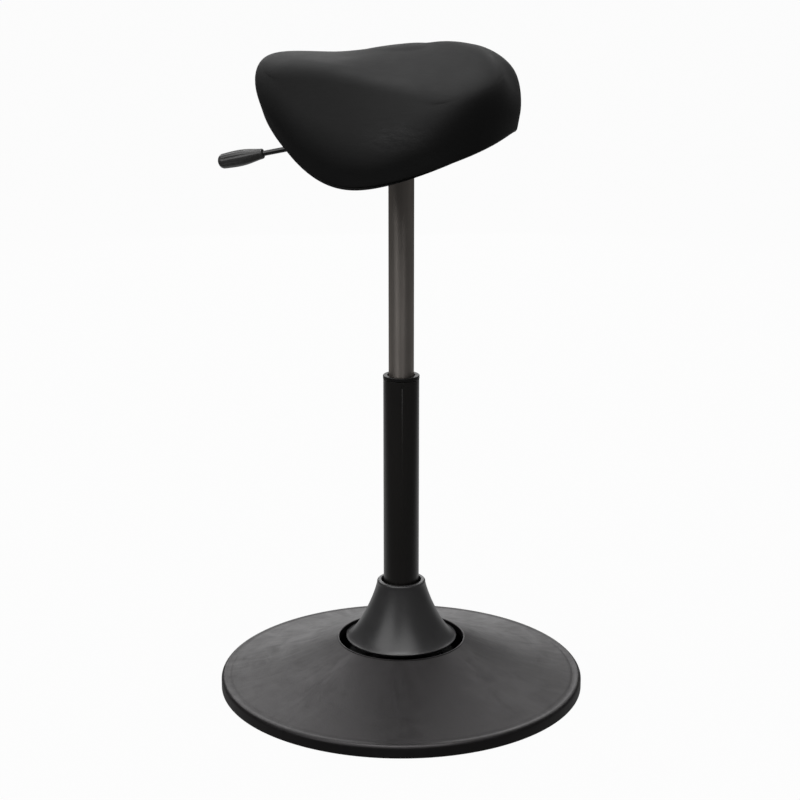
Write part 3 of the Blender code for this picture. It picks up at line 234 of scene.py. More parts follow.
class Paint:
    """A material under construction, with short ways to add and join nodes."""

    def __init__(self, name, colour, roughness, metallic=0.0, specular=0.5):
        self.made = bpy.data.materials.new(name)
        self.made.use_nodes = True
        self.tree = self.made.node_tree
        self.shader = self.tree.nodes["Principled BSDF"]
        self.colour = colour
        self.shader.inputs["Base Color"].default_value = (*colour, 1)
        self.shader.inputs["Roughness"].default_value = roughness
        self.shader.inputs["Metallic"].default_value = metallic
        self.shader.inputs["Specular IOR Level"].default_value = specular
        self.place = self.node("TexCoord").outputs["Object"]
        self.normal = None

    def node(self, kind, **values):
        made = self.tree.nodes.new("ShaderNode" + kind)
        for key, value in values.items():
            if hasattr(made, key):
                setattr(made, key, value)
            else:
                made.inputs[key.replace("_", " ")].default_value = value
        return made

    def join(self, source, target):
        self.tree.links.new(source, target)

    def stretched(self, scale):
        """Place in the object, scaled apart along its axes."""
        made = self.node("Mapping", Scale=scale)
        self.join(self.place, made.inputs["Vector"])
        return made.outputs["Vector"]

    def polar(self, around, along):
        """Place as angle round the column and distance from it, each scaled."""
        split = self.node("SeparateXYZ")
        self.join(self.place, split.inputs[0])
        angle = self.node("Math", operation="ARCTAN2")
        self.join(split.outputs["Y"], angle.inputs[0])
        self.join(split.outputs["X"], angle.inputs[1])
        flat = self.node("CombineXYZ")
        self.join(split.outputs["X"], flat.inputs["X"])
        self.join(split.outputs["Y"], flat.inputs["Y"])
        length = self.node("VectorMath", operation="LENGTH")
        self.join(flat.outputs[0], length.inputs[0])
        both = self.node("CombineXYZ")
        self.join(angle.outputs[0], both.inputs["X"])
        self.join(length.outputs["Value"], both.inputs["Y"])
        self.join(split.outputs["Z"], both.inputs["Z"])
        made = self.node("Mapping", Scale=(around, along, along))
        self.join(both.outputs[0], made.inputs["Vector"])
        return made.outputs["Vector"]

    def near(self, spot, spread):
        """1 at a spot given for the right half and its mirror image, falling to 0 at a spread."""
        split = self.node("SeparateXYZ")
        self.join(self.place, split.inputs[0])
        half = self.node("Math", operation="ABSOLUTE")
        self.join(split.outputs["X"], half.inputs[0])
        folded = self.node("CombineXYZ")
        self.join(half.outputs[0], folded.inputs["X"])
        self.join(split.outputs["Y"], folded.inputs["Y"])
        self.join(split.outputs["Z"], folded.inputs["Z"])
        away = self.node("VectorMath", operation="SUBTRACT")
        self.join(folded.outputs[0], away.inputs[0])
        away.inputs[1].default_value = spot
        scaled = self.node("VectorMath", operation="DIVIDE")
        self.join(away.outputs[0], scaled.inputs[0])
        scaled.inputs[1].default_value = spread
        length = self.node("VectorMath", operation="LENGTH")
        self.join(scaled.outputs[0], length.inputs[0])
        return self.ranged(length.outputs["Value"], (WEAR_AND_HIGHLIGHT_CORE, 1.0), (1, 0))

    def noise(self, vector, scale=1.0, detail=3.0, rough=0.55, distortion=0.0):
        made = self.node("TexNoise", Scale=scale, Detail=detail, Roughness=rough)
        made.inputs["Distortion"].default_value = distortion
        self.join(vector, made.inputs["Vector"])
        return made.outputs["Fac"]

    def cells(self, vector, scale):
        made = self.node("TexVoronoi", feature="DISTANCE_TO_EDGE", Scale=scale)
        self.join(vector, made.inputs["Vector"])
        return made.outputs["Distance"]

    def ranged(self, value, source, target=(0, 1)):
        """A value moved from one range to another, and held to it."""
        made = self.node("MapRange", From_Min=source[0], From_Max=source[1])
        made.inputs["To Min"].default_value, made.inputs["To Max"].default_value = target
        self.join(value, made.inputs["Value"])
        return made.outputs["Result"]

    def times(self, one, two):
        made = self.node("Math", operation="MULTIPLY")
        self.join(one, made.inputs[0])
        self.join(two, made.inputs[1])
        return made.outputs[0]

    def sum(self, one, two):
        made = self.node("Math", operation="ADD", use_clamp=True)
        self.join(one, made.inputs[0])
        self.join(two, made.inputs[1])
        return made.outputs[0]

    def tint(self, share, other):
        """Base colour that goes to another colour by a share."""
        made = self.node("Mix", data_type="RGBA")
        self.join(share, made.inputs["Factor"])
        made.inputs[MIX_FIRST].default_value = (*self.colour, 1)
        made.inputs[MIX_SECOND].default_value = (*other, 1)
        self.join(made.outputs[MIX_RESULT], self.shader.inputs["Base Color"])

    def polish(self, value, target, source=GLOSS_RANGE):
        """Roughness from a value's range."""
        self.join(self.ranged(value, source, target), self.shader.inputs["Roughness"])

    def relief(self, height, distance, strength=1.0):
        """One more layer of bump."""
        made = self.node("Bump", Strength=strength, Distance=distance)
        self.join(height, made.inputs["Height"])
        if self.normal:
            self.join(self.normal, made.inputs["Normal"])
        self.normal = made.outputs["Normal"]
        self.join(self.normal, self.shader.inputs["Normal"])


def make_leatherette():
    """Black cover with a fine grain, faint stretch lines and a lighter patch along each side's rim,
    partly wear and partly a painted highlight where the rim's flare catches the light.
    """
    paint = Paint("leatherette_look", (0.0092, 0.0092, 0.0093), 0.62, specular=0.29)
    patches = paint.noise(paint.place, scale=24)
    mottle = paint.noise(paint.stretched((220, 60, 160)), detail=5, rough=0.7)
    # painted highlight: a lighter, mottled patch by each side's rim, partly wear and partly the
    # light that the rim's flare catches
    spots = paint.near(WEAR_AND_HIGHLIGHT_SPOT, WEAR_AND_HIGHLIGHT_SPREAD)
    wear_and_highlight = paint.times(spots, paint.ranged(mottle, (0.35, 0.65)))
    clouds = paint.ranged(patches, CLOUD_RANGE, (0, 0.12))
    paint.tint(paint.sum(clouds, wear_and_highlight), (0.021, 0.021, 0.0212))
    paint.polish(patches, (0.58, 0.67))
    stretch = paint.noise(paint.stretched((240, 26, 200)), detail=4, rough=0.6)
    paint.relief(stretch, distance=0.0006, strength=0.22)
    paint.relief(paint.times(mottle, wear_and_highlight), distance=0.0006, strength=0.5)
    paint.relief(paint.cells(paint.place, scale=620), distance=0.0003, strength=0.10)
    grain = paint.noise(paint.place, scale=1400, detail=2)
    paint.relief(grain, distance=0.00015, strength=0.15)
    return paint.made


def make_base_plastic():
    """Black moulded base with wiped marks that follow its round."""
    paint = Paint("base_plastic_look", (0.0064, 0.0058, 0.0060), 0.50, specular=0.61)
    paint.shader.inputs["Specular Tint"].default_value = (1.0, 0.95, 0.97, 1)
    turned_place = paint.polar(around=2.4, along=26)
    smudge = paint.noise(turned_place, scale=1.6, detail=5, rough=0.62, distortion=0.9)
    turned_place = paint.polar(around=9.0, along=16)
    wipe = paint.noise(turned_place, detail=4, rough=0.6, distortion=1.6)
    marks = paint.times(smudge, wipe)
    paint.tint(paint.ranged(marks, (0.20, 0.42)), (0.0108, 0.0101, 0.0104))
    paint.polish(marks, (0.37, 0.50), source=(0.16, 0.42))
    paint.relief(paint.noise(paint.place, scale=900), distance=0.00016, strength=0.16)
    return paint.made


def make_boot_plastic():
    paint = Paint("boot_plastic_look", (0.048, 0.0474, 0.0486), 0.34, specular=1.0)
    patches = paint.noise(paint.place, scale=38, detail=4)
    paint.tint(paint.ranged(patches, CLOUD_RANGE), (0.056, 0.0553, 0.0567))
    paint.polish(patches, (0.31, 0.38))
    paint.relief(paint.noise(paint.place, scale=1000), distance=0.00014, strength=0.14)
    return paint.made


def make_tube_paint():
    paint = Paint("tube_paint_look", (0.0145, 0.0134, 0.0123), 0.30, specular=0.62)
    patches = paint.noise(paint.stretched((30, 30, 9)), detail=4)
    paint.tint(paint.ranged(patches, CLOUD_RANGE), (0.018, 0.0165, 0.0152))
    paint.polish(patches, (0.26, 0.34))
    grain = paint.noise(paint.place, scale=850, detail=2)
    paint.relief(grain, distance=0.00012, strength=0.14)
    return paint.made


def make_spring_metal():
    """Drawn metal with lengthwise streaks and a highlight spread round the tube."""
    paint = Paint("spring_metal_look", (0.52, 0.476, 0.440), 0.48, metallic=1.0)
    paint.shader.inputs["Specular Tint"].default_value = (0.3, 0.3, 0.3, 1)
    paint.shader.inputs["Anisotropic"].default_value = 0.6
    paint.shader.inputs["Anisotropic Rotation"].default_value = 0.25
    tangent = paint.node("Tangent", direction_type="RADIAL", axis="Z")
    paint.join(tangent.outputs[0], paint.shader.inputs["Tangent"])
    streaks = paint.noise(paint.stretched((420, 420, 5)), detail=4, rough=0.65)
    clouds = paint.noise(paint.stretched((26, 26, 13)))
    paint.tint(paint.ranged(paint.times(streaks, clouds), (0.14, 0.38)), (0.64, 0.586, 0.542))
    paint.polish(streaks, (0.43, 0.53))
    paint.relief(streaks, distance=0.0001, strength=0.15)
    return paint.made


def make_plastic(name, colour, other, roughness, spread, grain, specular=0.5):
    """Moulded plastic with a faint cloud in its colour and gloss, and a fine grain."""
    paint = Paint(name, colour, roughness, specular=specular)
    patches = paint.noise(paint.place, scale=60)
    paint.tint(paint.ranged(patches, CLOUD_RANGE), other)
    paint.polish(patches, (roughness - spread, roughness + spread))
    paint.relief(paint.noise(paint.place, scale=1200, detail=2), distance=grain, strength=0.2)
    return paint.made


def make_steel():
    paint = Paint("steel_look", (0.33, 0.33, 0.34), 0.36, metallic=1.0)
    turning = paint.noise(paint.stretched((90, 90, 900)))
    paint.tint(paint.ranged(turning, GLOSS_RANGE), (0.42, 0.42, 0.43))
    paint.polish(turning, (0.29, 0.44))
    return paint.made


def make_foam():
    paint = Paint("foam_look", (0.46, 0.43, 0.34), 0.95)
    pores = paint.cells(paint.place, scale=700)
    paint.tint(paint.ranged(pores, (0.0, 0.4)), (0.56, 0.53, 0.44))
    paint.relief(pores, distance=0.0004, strength=0.6)
    return paint.made


# Mesh helpers


def finished(name, mesh, finish, body, replaced=()):
    made = bpy.data.objects.new(name, mesh)
    mesh.materials.clear()
    mesh.materials.append(finish)
    bpy.context.scene.collection.objects.link(made)
    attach(made, body)
    if replaced:
        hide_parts(*replaced)
    return made


def as_mesh(name, shape, smooth=SMOOTH_ANGLE):
    mesh = bpy.data.meshes.new(name)
    bmesh.ops.recalc_face_normals(shape, faces=shape.faces)
    shape.to_mesh(mesh)
    shape.free()
    mesh.shade_smooth()
    mesh.set_sharp_from_angle(angle=smooth)
    return mesh


def piece(name, shape, finish, body, replaced=(), smooth=SMOOTH_ANGLE):
    return finished(name, as_mesh(name, shape, smooth), finish, body, replaced)


def turned(profile, steps=TURN_STEPS, closed=True, place=None):
    """Spins a profile of (radius, height) points round Z, then moves the result."""
    shape = bmesh.new()
    points = [shape.verts.new((radius, 0, height)) for radius, height in profile]
    edges = [shape.edges.new(pair) for pair in zip(points, points[1:])]
    if closed:
        edges.append(shape.edges.new((points[-1], points[0])))
    line = points + edges
    bmesh.ops.spin(shape, geom=line, axis=(0, 0, 1), angle=2 * pi, steps=steps, use_merge=True)
    bmesh.ops.remove_doubles(shape, verts=shape.verts, dist=MERGE_DISTANCE)
    if place:
        bmesh.ops.transform(shape, matrix=place, verts=shape.verts)
    return shape


def lofted(rings, closed=False):
    """Joins rings of points by faces. A ring of one point is a pole."""
    shape = bmesh.new()
    loops = [[shape.verts.new(point) for point in ring] for ring in rings]
    pairs = list(zip(loops, loops[1:]))
    if closed:
        pairs.append((loops[-1], loops[0]))
    for one, two in pairs:
        steps = max(len(one), len(two))
        for step in range(steps):
            after = (step + 1) % steps
            if len(one) == 1:
                shape.faces.new((one[0], two[step], two[after]))
            elif len(two) == 1:
                shape.faces.new((one[step], two[0], one[after]))
            else:
                shape.faces.new((one[step], two[step], two[after], one[after]))
    return shape


def arc(centre, radius, start, end, steps=ARC_STEPS):
    """Points on a circle about (radius, height), with angles from the outward direction."""
    angles = [start + (end - start) * step / steps for step in range(steps + 1)]
    return [(centre[0] + radius * cos(angle), centre[1] + radius * sin(angle)) for angle in angles]


def bezier(start, start_pull, end_pull, end, steps):
    points = []
    for step in range(steps + 1):
        t = step / steps
        shares = ((1 - t) ** 3, 3 * t * (1 - t) ** 2, 3 * t * t * (1 - t), t**3)
        corners = (start, start_pull, end_pull, end)
        radius = sum(share * corner[0] for share, corner in zip(shares, corners))
        height = sum(share * corner[1] for share, corner in zip(shares, corners))
        points.append((radius, height))
    return points


def clamped(value):
    return min(1.0, max(0.0, value))


def offset_curve(points, distance):
    """The same curve moved square to itself, to the left for a positive distance."""
    moved = []
    for index, (radius, height) in enumerate(points):
        before = points[max(index - 1, 0)]
        after = points[min(index + 1, len(points) - 1)]
        along = Vector((after[0] - before[0], after[1] - before[1])).normalized()
        moved.append((radius - along.y * distance, height + along.x * distance))
    return moved


def merged(target, other, operation):
    """Applies a Boolean with a second mesh and returns the joined mesh."""
    holder = bpy.data.objects.new("holder", target)
    helper = bpy.data.objects.new("helper", other)
    for item in (holder, helper):
        bpy.context.scene.collection.objects.link(item)
    step = holder.modifiers.new("join", "BOOLEAN")
    step.object = helper
    step.operation = operation
    step.solver = "EXACT"
    ready = holder.evaluated_get(bpy.context.evaluated_depsgraph_get())
    mesh = bpy.data.meshes.new_from_object(ready)
    for item in (holder, helper):
        bpy.data.objects.remove(item, do_unlink=True)
    return mesh


# Base


def make_base():
    low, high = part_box("base_cover")
    radius, foot, hole_height = high.x, low.z, high.z
    rim_edge = radius - RIM_ROUNDING
    bead_start = rim_edge - RIM_BEAD_WIDTH
    pull = (rim_edge - COVER_HOLE_RADIUS) * COVER_CURVE_PULL
    start = (COVER_HOLE_RADIUS, hole_height)
    start_pull = (start[0] + pull * cos(COVER_HOLE_SLOPE), start[1] - pull * sin(COVER_HOLE_SLOPE))
    end = (rim_edge, COVER_RIM_TOP)
    end_pull = (end[0] - pull * cos(COVER_RIM_SLOPE), end[1] + pull * sin(COVER_RIM_SLOPE))
    cone = bezier(start, start_pull, end_pull, end, CONE_STEPS)
    rounding = COVER_LIP_ROUNDING
    edge = arc((start[0] + rounding, start[1] - rounding), rounding, pi, pi / 2 - COVER_HOLE_SLOPE)
    top = edge + [point for point in cone if edge[-1][0] < point[0] < bead_start]
    top += [(bead_start, cone_height(cone, bead_start) - RIM_BEAD_RISE)]
    bead_top = COVER_RIM_TOP + RIM_BEAD_RISE
    bead_centre = (rim_edge - RIM_BEAD_EXTRA, bead_top - RIM_ROUNDING)
    bead = arc(bead_centre, RIM_ROUNDING + RIM_BEAD_EXTRA, RIM_BEAD_START, 0, BEAD_STEPS)
    side_centre = (radius - COVER_FOOT_ROUNDING, foot + COVER_FOOT_ROUNDING)
    side = arc(side_centre, COVER_FOOT_ROUNDING, 0, -pi / 2, EDGE_STEPS)
    inside = radius - COVER_WALL
    ledge_end = inside - COVER_LEDGE_WIDTH
    lip_edge = COVER_HOLE_RADIUS + COVER_WALL
    under = [point for point in offset_curve(cone, -COVER_WALL) if lip_edge < point[0] < ledge_end]
    lip_foot = hole_height - COVER_LIP_DEPTH
    profile = top + bead + side + [(inside, foot), (inside, COVER_LEDGE_HEIGHT)]
    profile += [(ledge_end, COVER_LEDGE_HEIGHT)] + under[::-1]
    profile += [(lip_edge, lip_foot), (COVER_HOLE_RADIUS, lip_foot)]
    shape = turned(profile, BASE_STEPS)
    piece("base_shell", shape, base_plastic, "base", ("base_cover",))

    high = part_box("floor_ring")[1]
    outer, top = high.x, high.z
    inner = outer - FLOOR_RING_WIDTH
    bevel = FLOOR_RING_BEVEL
    profile = [(inner, top), (outer, top), (outer, bevel)]
    profile += [(outer - bevel, 0), (inner + bevel, 0), (inner, bevel)]
    piece("floor_tread", turned(profile, BASE_STEPS), rubber, "base", ("floor_ring",))


def cone_height(curve, radius):
    index = next(index for index, point in enumerate(curve) if point[0] >= radius)
    (near, high), (far, low) = curve[index - 1], curve[index]
    return high + (low - high) * (radius - near) / (far - near)


# Column


def make_boot():
    low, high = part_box("column_boot")
    foot_radius, foot, top = high.x, low.z, high.z - BOOT_TOP_DROP
    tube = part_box("stand_tube")[1].x
    start = (BOOT_NECK_RADIUS, high.z)
    start_pull = (start[0] + BOOT_NECK_FLARE, start[1] - BOOT_NECK_DROP)
    rounding = BOOT_FOOT_ROUNDING
    end = (foot_radius, foot)
    end_pull = (end[0] - BOOT_SKIRT_REACH, end[1] + BOOT_SKIRT_RISE)
    flare = bezier(start, start_pull, end_pull, end, FLARE_STEPS)
    lip_foot = top - BOOT_LIP_ROUNDING
    flare = [point for point in flare if point[0] < foot_radius - rounding and point[1] < lip_foot]
    lip = arc((flare[0][0] - BOOT_LIP_ROUNDING, lip_foot), BOOT_LIP_ROUNDING, pi / 2, 0)
    centre = (foot_radius - rounding, foot + rounding)
    hem = arc(centre, rounding, BOOT_FOOT_START, -pi / 2, BOOT_FOOT_STEPS)
    web_high = top - BOOT_WEB_DEPTH
    web_foot = web_high - BOOT_WEB
    bore = tube + GAP
    mouth = tube + BOOT_MOUTH_GAP
    inside = [point for point in offset_curve(flare, -BOOT_WALL) if point[1] < web_foot - BOOT_WALL]
    inside.append((foot_radius - BOOT_FOOT_WIDTH, foot))
    throat = inside[0][0] - BOOT_WALL / 2
    web = [(throat, web_foot), (bore, web_foot), (bore, web_high), (mouth, web_high)]
    centre = (mouth + BOOT_MOUTH_ROUNDING, top - BOOT_MOUTH_ROUNDING)
    inner_lip = arc(centre, BOOT_MOUTH_ROUNDING, pi, pi / 2, EDGE_STEPS)
    profile = lip[:-1] + flare + hem + inside[::-1] + web + inner_lip
    shape = turned(profile, BOOT_STEPS)
    piece("boot", shape, boot_plastic, "column", ("column_boot",))


def make_tubes():
    low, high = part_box("stand_tube")
    radius, foot, top = high.x, low.z, high.z
    taper_end = foot + TUBE_TAPER_LENGTH
    end_radius = radius - TUBE_TAPER_CUT
    bore = radius - TUBE_WALL
    profile = [(bore, top), (radius - TUBE_EDGE, top), (radius, top - TUBE_EDGE)]
    profile += [(radius, taper_end), (end_radius, foot), (TUBE_FLOOR_BORE, foot)]
    profile += [(TUBE_FLOOR_BORE, foot + TUBE_FLOOR), (end_radius - TUBE_WALL, foot + TUBE_FLOOR)]
    profile += [(bore, taper_end)]
    tube = as_mesh("tube", turned(profile))
    crimp = bmesh.new()
    facing = Matrix.Rotation(CAMERA_YAW, 4, "Z")
    spot = facing @ Vector((radius + CRIMP_STANDOFF, CRIMP_SIDESTEP, top - CRIMP_DROP))
    place = Matrix.Translation(spot)
    bmesh.ops.create_uvsphere(
        crimp, u_segments=16, v_segments=10, radius=CRIMP_RADIUS, matrix=place
    )
    tube = merged(tube, as_mesh("crimp", crimp), "DIFFERENCE")
    finished("column_tube", tube, tube_paint, "column", ("stand_tube",))

    low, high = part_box("guide_sleeve")
    collar, sleeve_foot, collar_top = high.x, low.z, high.z
    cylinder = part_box("gas_cylinder")[1].x
    collar_foot = collar_top - COLLAR_HEIGHT
    mouth = cylinder + MOUTH_GAP
    centre = (collar - COLLAR_ROUNDING, collar_top - COLLAR_ROUNDING)
    mouth_centre = (mouth + MOUTH_ROUNDING, collar_top - MOUTH_ROUNDING)
    profile = arc(mouth_centre, MOUTH_ROUNDING, pi, pi / 2, EDGE_STEPS)
    profile += arc(centre, COLLAR_ROUNDING, pi / 2, 0)
    profile += [(collar, collar_foot + COLLAR_SEAM), (collar - COLLAR_SEAM, collar_foot)]
    inner, mouth_foot = cylinder + SLEEVE_GAP, collar_top - MOUTH_DEPTH
    profile += [(bore - GAP, collar_foot), (bore - GAP, sleeve_foot), (inner, sleeve_foot)]
    profile += [(inner, mouth_foot), (mouth, mouth_foot)]
    shape = turned(profile)
    piece("collar", shape, collar_plastic, "column", ("guide_sleeve",))

    low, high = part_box("gas_cylinder")
    taper_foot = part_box("taper_socket")[0].z
    bore = cylinder - CYLINDER_WALL
    head = high.z - CYLINDER_HEAD
    profile = [(PIN_BORE, high.z), (cylinder - CYLINDER_TAPER, high.z), (cylinder, taper_foot)]
    profile += [(cylinder, low.z), (bore, low.z), (bore, head), (PIN_BORE, head)]
    shape = turned(profile)
    piece("spring_tube", shape, spring_metal, "seat", ("gas_cylinder",))


# Lever


def make_lever():
    low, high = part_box("lever_pivot_pin")
    pivot = Vector((0, (low.y + high.y) / 2, (low.z + high.z) / 2))
    leaning = Matrix.Translation(pivot) @ Matrix.Rotation(LEVER_SLOPE, 4, "X")
    outward = leaning @ Matrix.Rotation(pi / 2, 4, "X")
    sideways = leaning @ Matrix.Rotation(pi / 2, 4, "Y")
    radius, soft = LEVER_BAR_RADIUS, LEVER_BAR_BEVEL
    tip = LEVER_REACH + HANDLE_SOCKET_DEPTH - GAP
    tail = -LEVER_TAIL
    bar = [(0, tip), (radius - soft, tip), (radius, tip - soft)]
    bar += [(radius, tail + soft), (radius - soft, tail), (0, tail)]
    rod = as_mesh("rod", turned(bar, BAR_STEPS, closed=False, place=outward))
    half = LEVER_HUB_WIDTH / 2
    radius, edge = LEVER_HUB_RADIUS, LEVER_HUB_BEVEL
    hub = [(0, half), (radius - edge, half), (radius, half - edge)]
    hub += [(radius, edge - half), (radius - edge, -half), (0, -half)]
    hub = as_mesh("hub", turned(hub, HUB_STEPS, closed=False, place=sideways))
    rod = merged(rod, hub, "UNION")
    beyond = half + edge
    bore = [(0, beyond), (LEVER_BORE, beyond), (LEVER_BORE, -beyond), (0, -beyond)]
    bore = as_mesh("bore", turned(bore, BORE_STEPS, closed=False, place=sideways))
    rod = merged(rod, bore, "DIFFERENCE")
    rod.shade_smooth()
    rod.set_sharp_from_angle(angle=SMOOTH_ANGLE)
    finished("lever_bar", rod, lever_paint, "lever", ("lever_rod",))
    make_grip(outward)


def make_grip(outward):
    """Handle with lengthwise flutes that fade towards the neck and stop short of the nose."""
    start, end = LEVER_REACH, LEVER_REACH + HANDLE_LENGTH
    neck = (HANDLE_NECK_RADIUS, start + HANDLE_SHOULDER)
    neck_pull = (neck[0] + HANDLE_NECK_RISE, neck[1] + HANDLE_NECK_PULL)
    belly = (HANDLE_BELLY_RADIUS, start + HANDLE_LENGTH * HANDLE_BELLY_SHARE)
    belly_start = (belly[0], belly[1] - HANDLE_BELLY_PULL)
    belly_end = (belly[0], belly[1] + HANDLE_BELLY_PULL / 2)
    tip = (HANDLE_END_RADIUS, end - HANDLE_NOSE)
    tip_pull = (tip[0] + HANDLE_TIP_RISE, tip[1] - HANDLE_BELLY_PULL / 2)
    swell = bezier(neck, neck_pull, belly_start, belly, NECK_STEPS)
    swell += bezier(belly, belly_end, tip_pull, tip, BELLY_STEPS)[1:]
    nose = arc((0, 0), 1.0, 0, pi / 2, NOSE_STEPS)[1:-1]
    nose = [(out * HANDLE_END_RADIUS, tip[1] + along * HANDLE_NOSE) for out, along in nose]
    socket = LEVER_BAR_RADIUS + GAP
    centre = (neck[0] - HANDLE_SHOULDER, neck[1])
    shoulder = arc(centre, HANDLE_SHOULDER, -pi / 2, 0, SHOULDER_STEPS)[:-1]
    outline = [(socket, start)] + shoulder + swell + nose
    angles = [2 * pi * step / GRIP_STEPS for step in range(GRIP_STEPS)]
    deep = start + HANDLE_SOCKET_DEPTH
    rings = [[(0, 0, deep)], [(socket * cos(angle), socket * sin(angle), deep) for angle in angles]]
    for radius, along in outline:
        ring = []
        for angle in angles:
            reach = radius - flute(angle, along - start) if radius > socket else radius
            ring.append((reach * cos(angle), reach * sin(angle), along))
        rings.append(ring)
    rings.append([(0, 0, end)])
    shape = lofted([[outward @ Vector(point) for point in ring] for ring in rings])
    slot, smooth = "handle_plastic", MOULDED_SMOOTH_ANGLE
    piece("lever_grip", shape, handle_plastic, "lever", ("lever_handle",), smooth)


def flute(angle, along):
    """Depth of the flutes at an angle and a distance along the handle."""
    share = along / HANDLE_LENGTH
    fade = clamped((share - FLUTE_START) / FLUTE_RISE) * clamped((FLUTE_END - share) / FLUTE_FALL)
    spacing = 2 * pi / FLUTE_COUNT
    off = (angle - FLUTE_TURN + spacing / 2) % spacing - spacing / 2
    return FLUTE_DEPTH * fade * exp(-((off / FLUTE_WIDTH) ** 2))


# Seat

seat_angles = [2 * pi * step / SEAT_STEPS for step in range(SEAT_STEPS)]


def wave(stations):
    """Smooth even curve round the seat through values at equal angles from the nose to the rear."""
    last = len(stations) - 1
    shares = []
    for order in range(last + 1):
        total = 0.0
        for index, value in enumerate(stations):
            weight = 0.5 if index in (0, last) else 1.0
            total += weight * value * cos(order * index * pi / last)
        shares.append(total * (1 if order in (0, last) else 2) / last)
    return lambda angle: sum(share * cos(order * angle) for order, share in enumerate(shares))


reach_at = wave(SEAT_REACHES)
crease_share_at = wave(CREASE_SHARES)
crease_height_at = wave(CREASE_HEIGHTS)
rim_height_at = wave(RIM_HEIGHTS)
hem_height_at = wave(HEM_HEIGHTS)
crease_rounding_at = wave(CREASE_ROUNDINGS)
rim_rounding_at = wave(RIM_ROUNDINGS)
wall_tuck_at = wave(WALL_TUCKS)
hem_roll_at = wave(HEM_ROLLS)
lip_and_shade_drop_at = wave(LIP_AND_SHADE_DROPS)


def rear_fill(angle):
    """Rise that is nil at the rear itself and beyond its start, and full between."""
    start = -cos(REAR_FILL_START)
    along = (-cos(angle) - start) / (1 - start)
    return REAR_FILL * along * along * (1 - along) / REAR_FILL_PEAK if along > 0 else 0.0


def towards(start, end, distance):
    """Point at a distance from the start on the way to the end, short of half way."""
    run = end - start
    return start + run * min(distance / run.length, CORNER_LIMIT)


def bend(start, pull, end, steps):
    """Points on a curve from start to end, without its start."""
    shares = [step / steps for step in range(1, steps + 1)]
    return [start * (1 - t) ** 2 + pull * (2 * t * (1 - t)) + end * (t * t) for t in shares]


def section(angle):
    """Half section from the crown to the hem, as (reach, height) points."""
    reach = reach_at(angle)
    crown = Vector((0, CROWN_HEIGHT))
    crease = Vector((reach * crease_share_at(angle), crease_height_at(angle) + rear_fill(angle)))
    rim = Vector((reach, rim_height_at(angle)))
    hem = Vector((hem_reach(angle), hem_height_at(angle)))
    swell = crown.lerp(crease, 0.5)
    swell.y = CROWN_HEIGHT + (crease.y - CROWN_HEIGHT) * PANEL_SWELL - NOSE_DIP * cos(angle)
    swell_cut = crease.x * SWELL_SHARE
    swell_start = towards(swell, crown, swell_cut)
    level = swell_start.x / 2
    crown_pull = Vector((level, CROWN_HEIGHT - CROWN_TILT * level * cos(angle)))
    swell_end = towards(swell, crease, swell_cut)
    crease_start = towards(crease, swell, crease_rounding_at(angle))
    crease_end = towards(crease, rim, crease_rounding_at(angle))
    rim_start = towards(rim, crease, rim_rounding_at(angle))
    rim_end = towards(rim, hem, rim_rounding_at(angle))
    roll = hem_roll_at(angle)
    roll_start = towards(hem, rim_end, roll)
    roll_end = Vector((hem.x - roll, underside(angle, hem.x - roll) - HEM_GAP - SKIN))
    runs = (
        (crown, crown_pull, swell_start),
        (swell_start, swell, swell_end),
        (swell_end, swell_end.lerp(crease_start, 0.5), crease_start),
        (crease_start, crease, crease_end),
        (crease_end, crease_end.lerp(rim_start, 0.5), rim_start),
        (rim_start, rim, rim_end),
        (rim_end, rim_end.lerp(roll_start, 0.5), roll_start),
        (roll_start, hem, roll_end),
    )
    points = []
    for run, steps in zip(runs, SECTION_STEPS):
        points += bend(*run, steps)
    return points


def seat_point(angle, reach, height):
    return Vector((reach * sin(angle), SEAT_CENTRE_Y - reach * cos(angle), land + height))


def hem_reach(angle):
    return reach_at(angle) - wall_tuck_at(angle)


def underside(angle, reach):
    """Height of the shell's lower face: flat in the middle, drooping towards the outline."""
    t = max(0.0, (reach - LAND_RADIUS) / (hem_reach(angle) - LAND_RADIUS))
    edge = hem_height_at(angle) + HEM_GAP + SKIN
    return edge * t * t * (1 + UNDERSIDE_CURVE * (1 - t))


def under_ring(inset, share, lift):
    """Ring along the shell's lower face, at a share of the way from the land to the rolled hem."""
    ring = []
    for angle in seat_angles:
        edge = hem_reach(angle) - hem_roll_at(angle) - inset
        reach = LAND_RADIUS + (edge - LAND_RADIUS) * share
        ring.append(seat_point(angle, reach, lift + underside(angle, reach)))
    return ring


def eased(ring, amount):
    """Ring with its heights averaged along it, over the same width at any reach."""
    reach = sum((point.xy - Vector((0, SEAT_CENTRE_Y))).length for point in ring) / len(ring)
    spread = min(EASE_WIDTH / reach, EASE_LIMIT) / seat_angles[1]
    tail = int(spread * EASE_TAIL)
    steps = range(-tail, tail + 1)
    weights = [exp(-0.5 * (step / spread) ** 2) for step in steps]
    result = []
    for index, point in enumerate(ring):
        heights = [ring[(index + step) % len(ring)].z for step in steps]
        mean = sum(weight * height for weight, height in zip(weights, heights)) / sum(weights)
        result.append(Vector((point.x, point.y, point.z + (mean - point.z) * amount)))
    return result


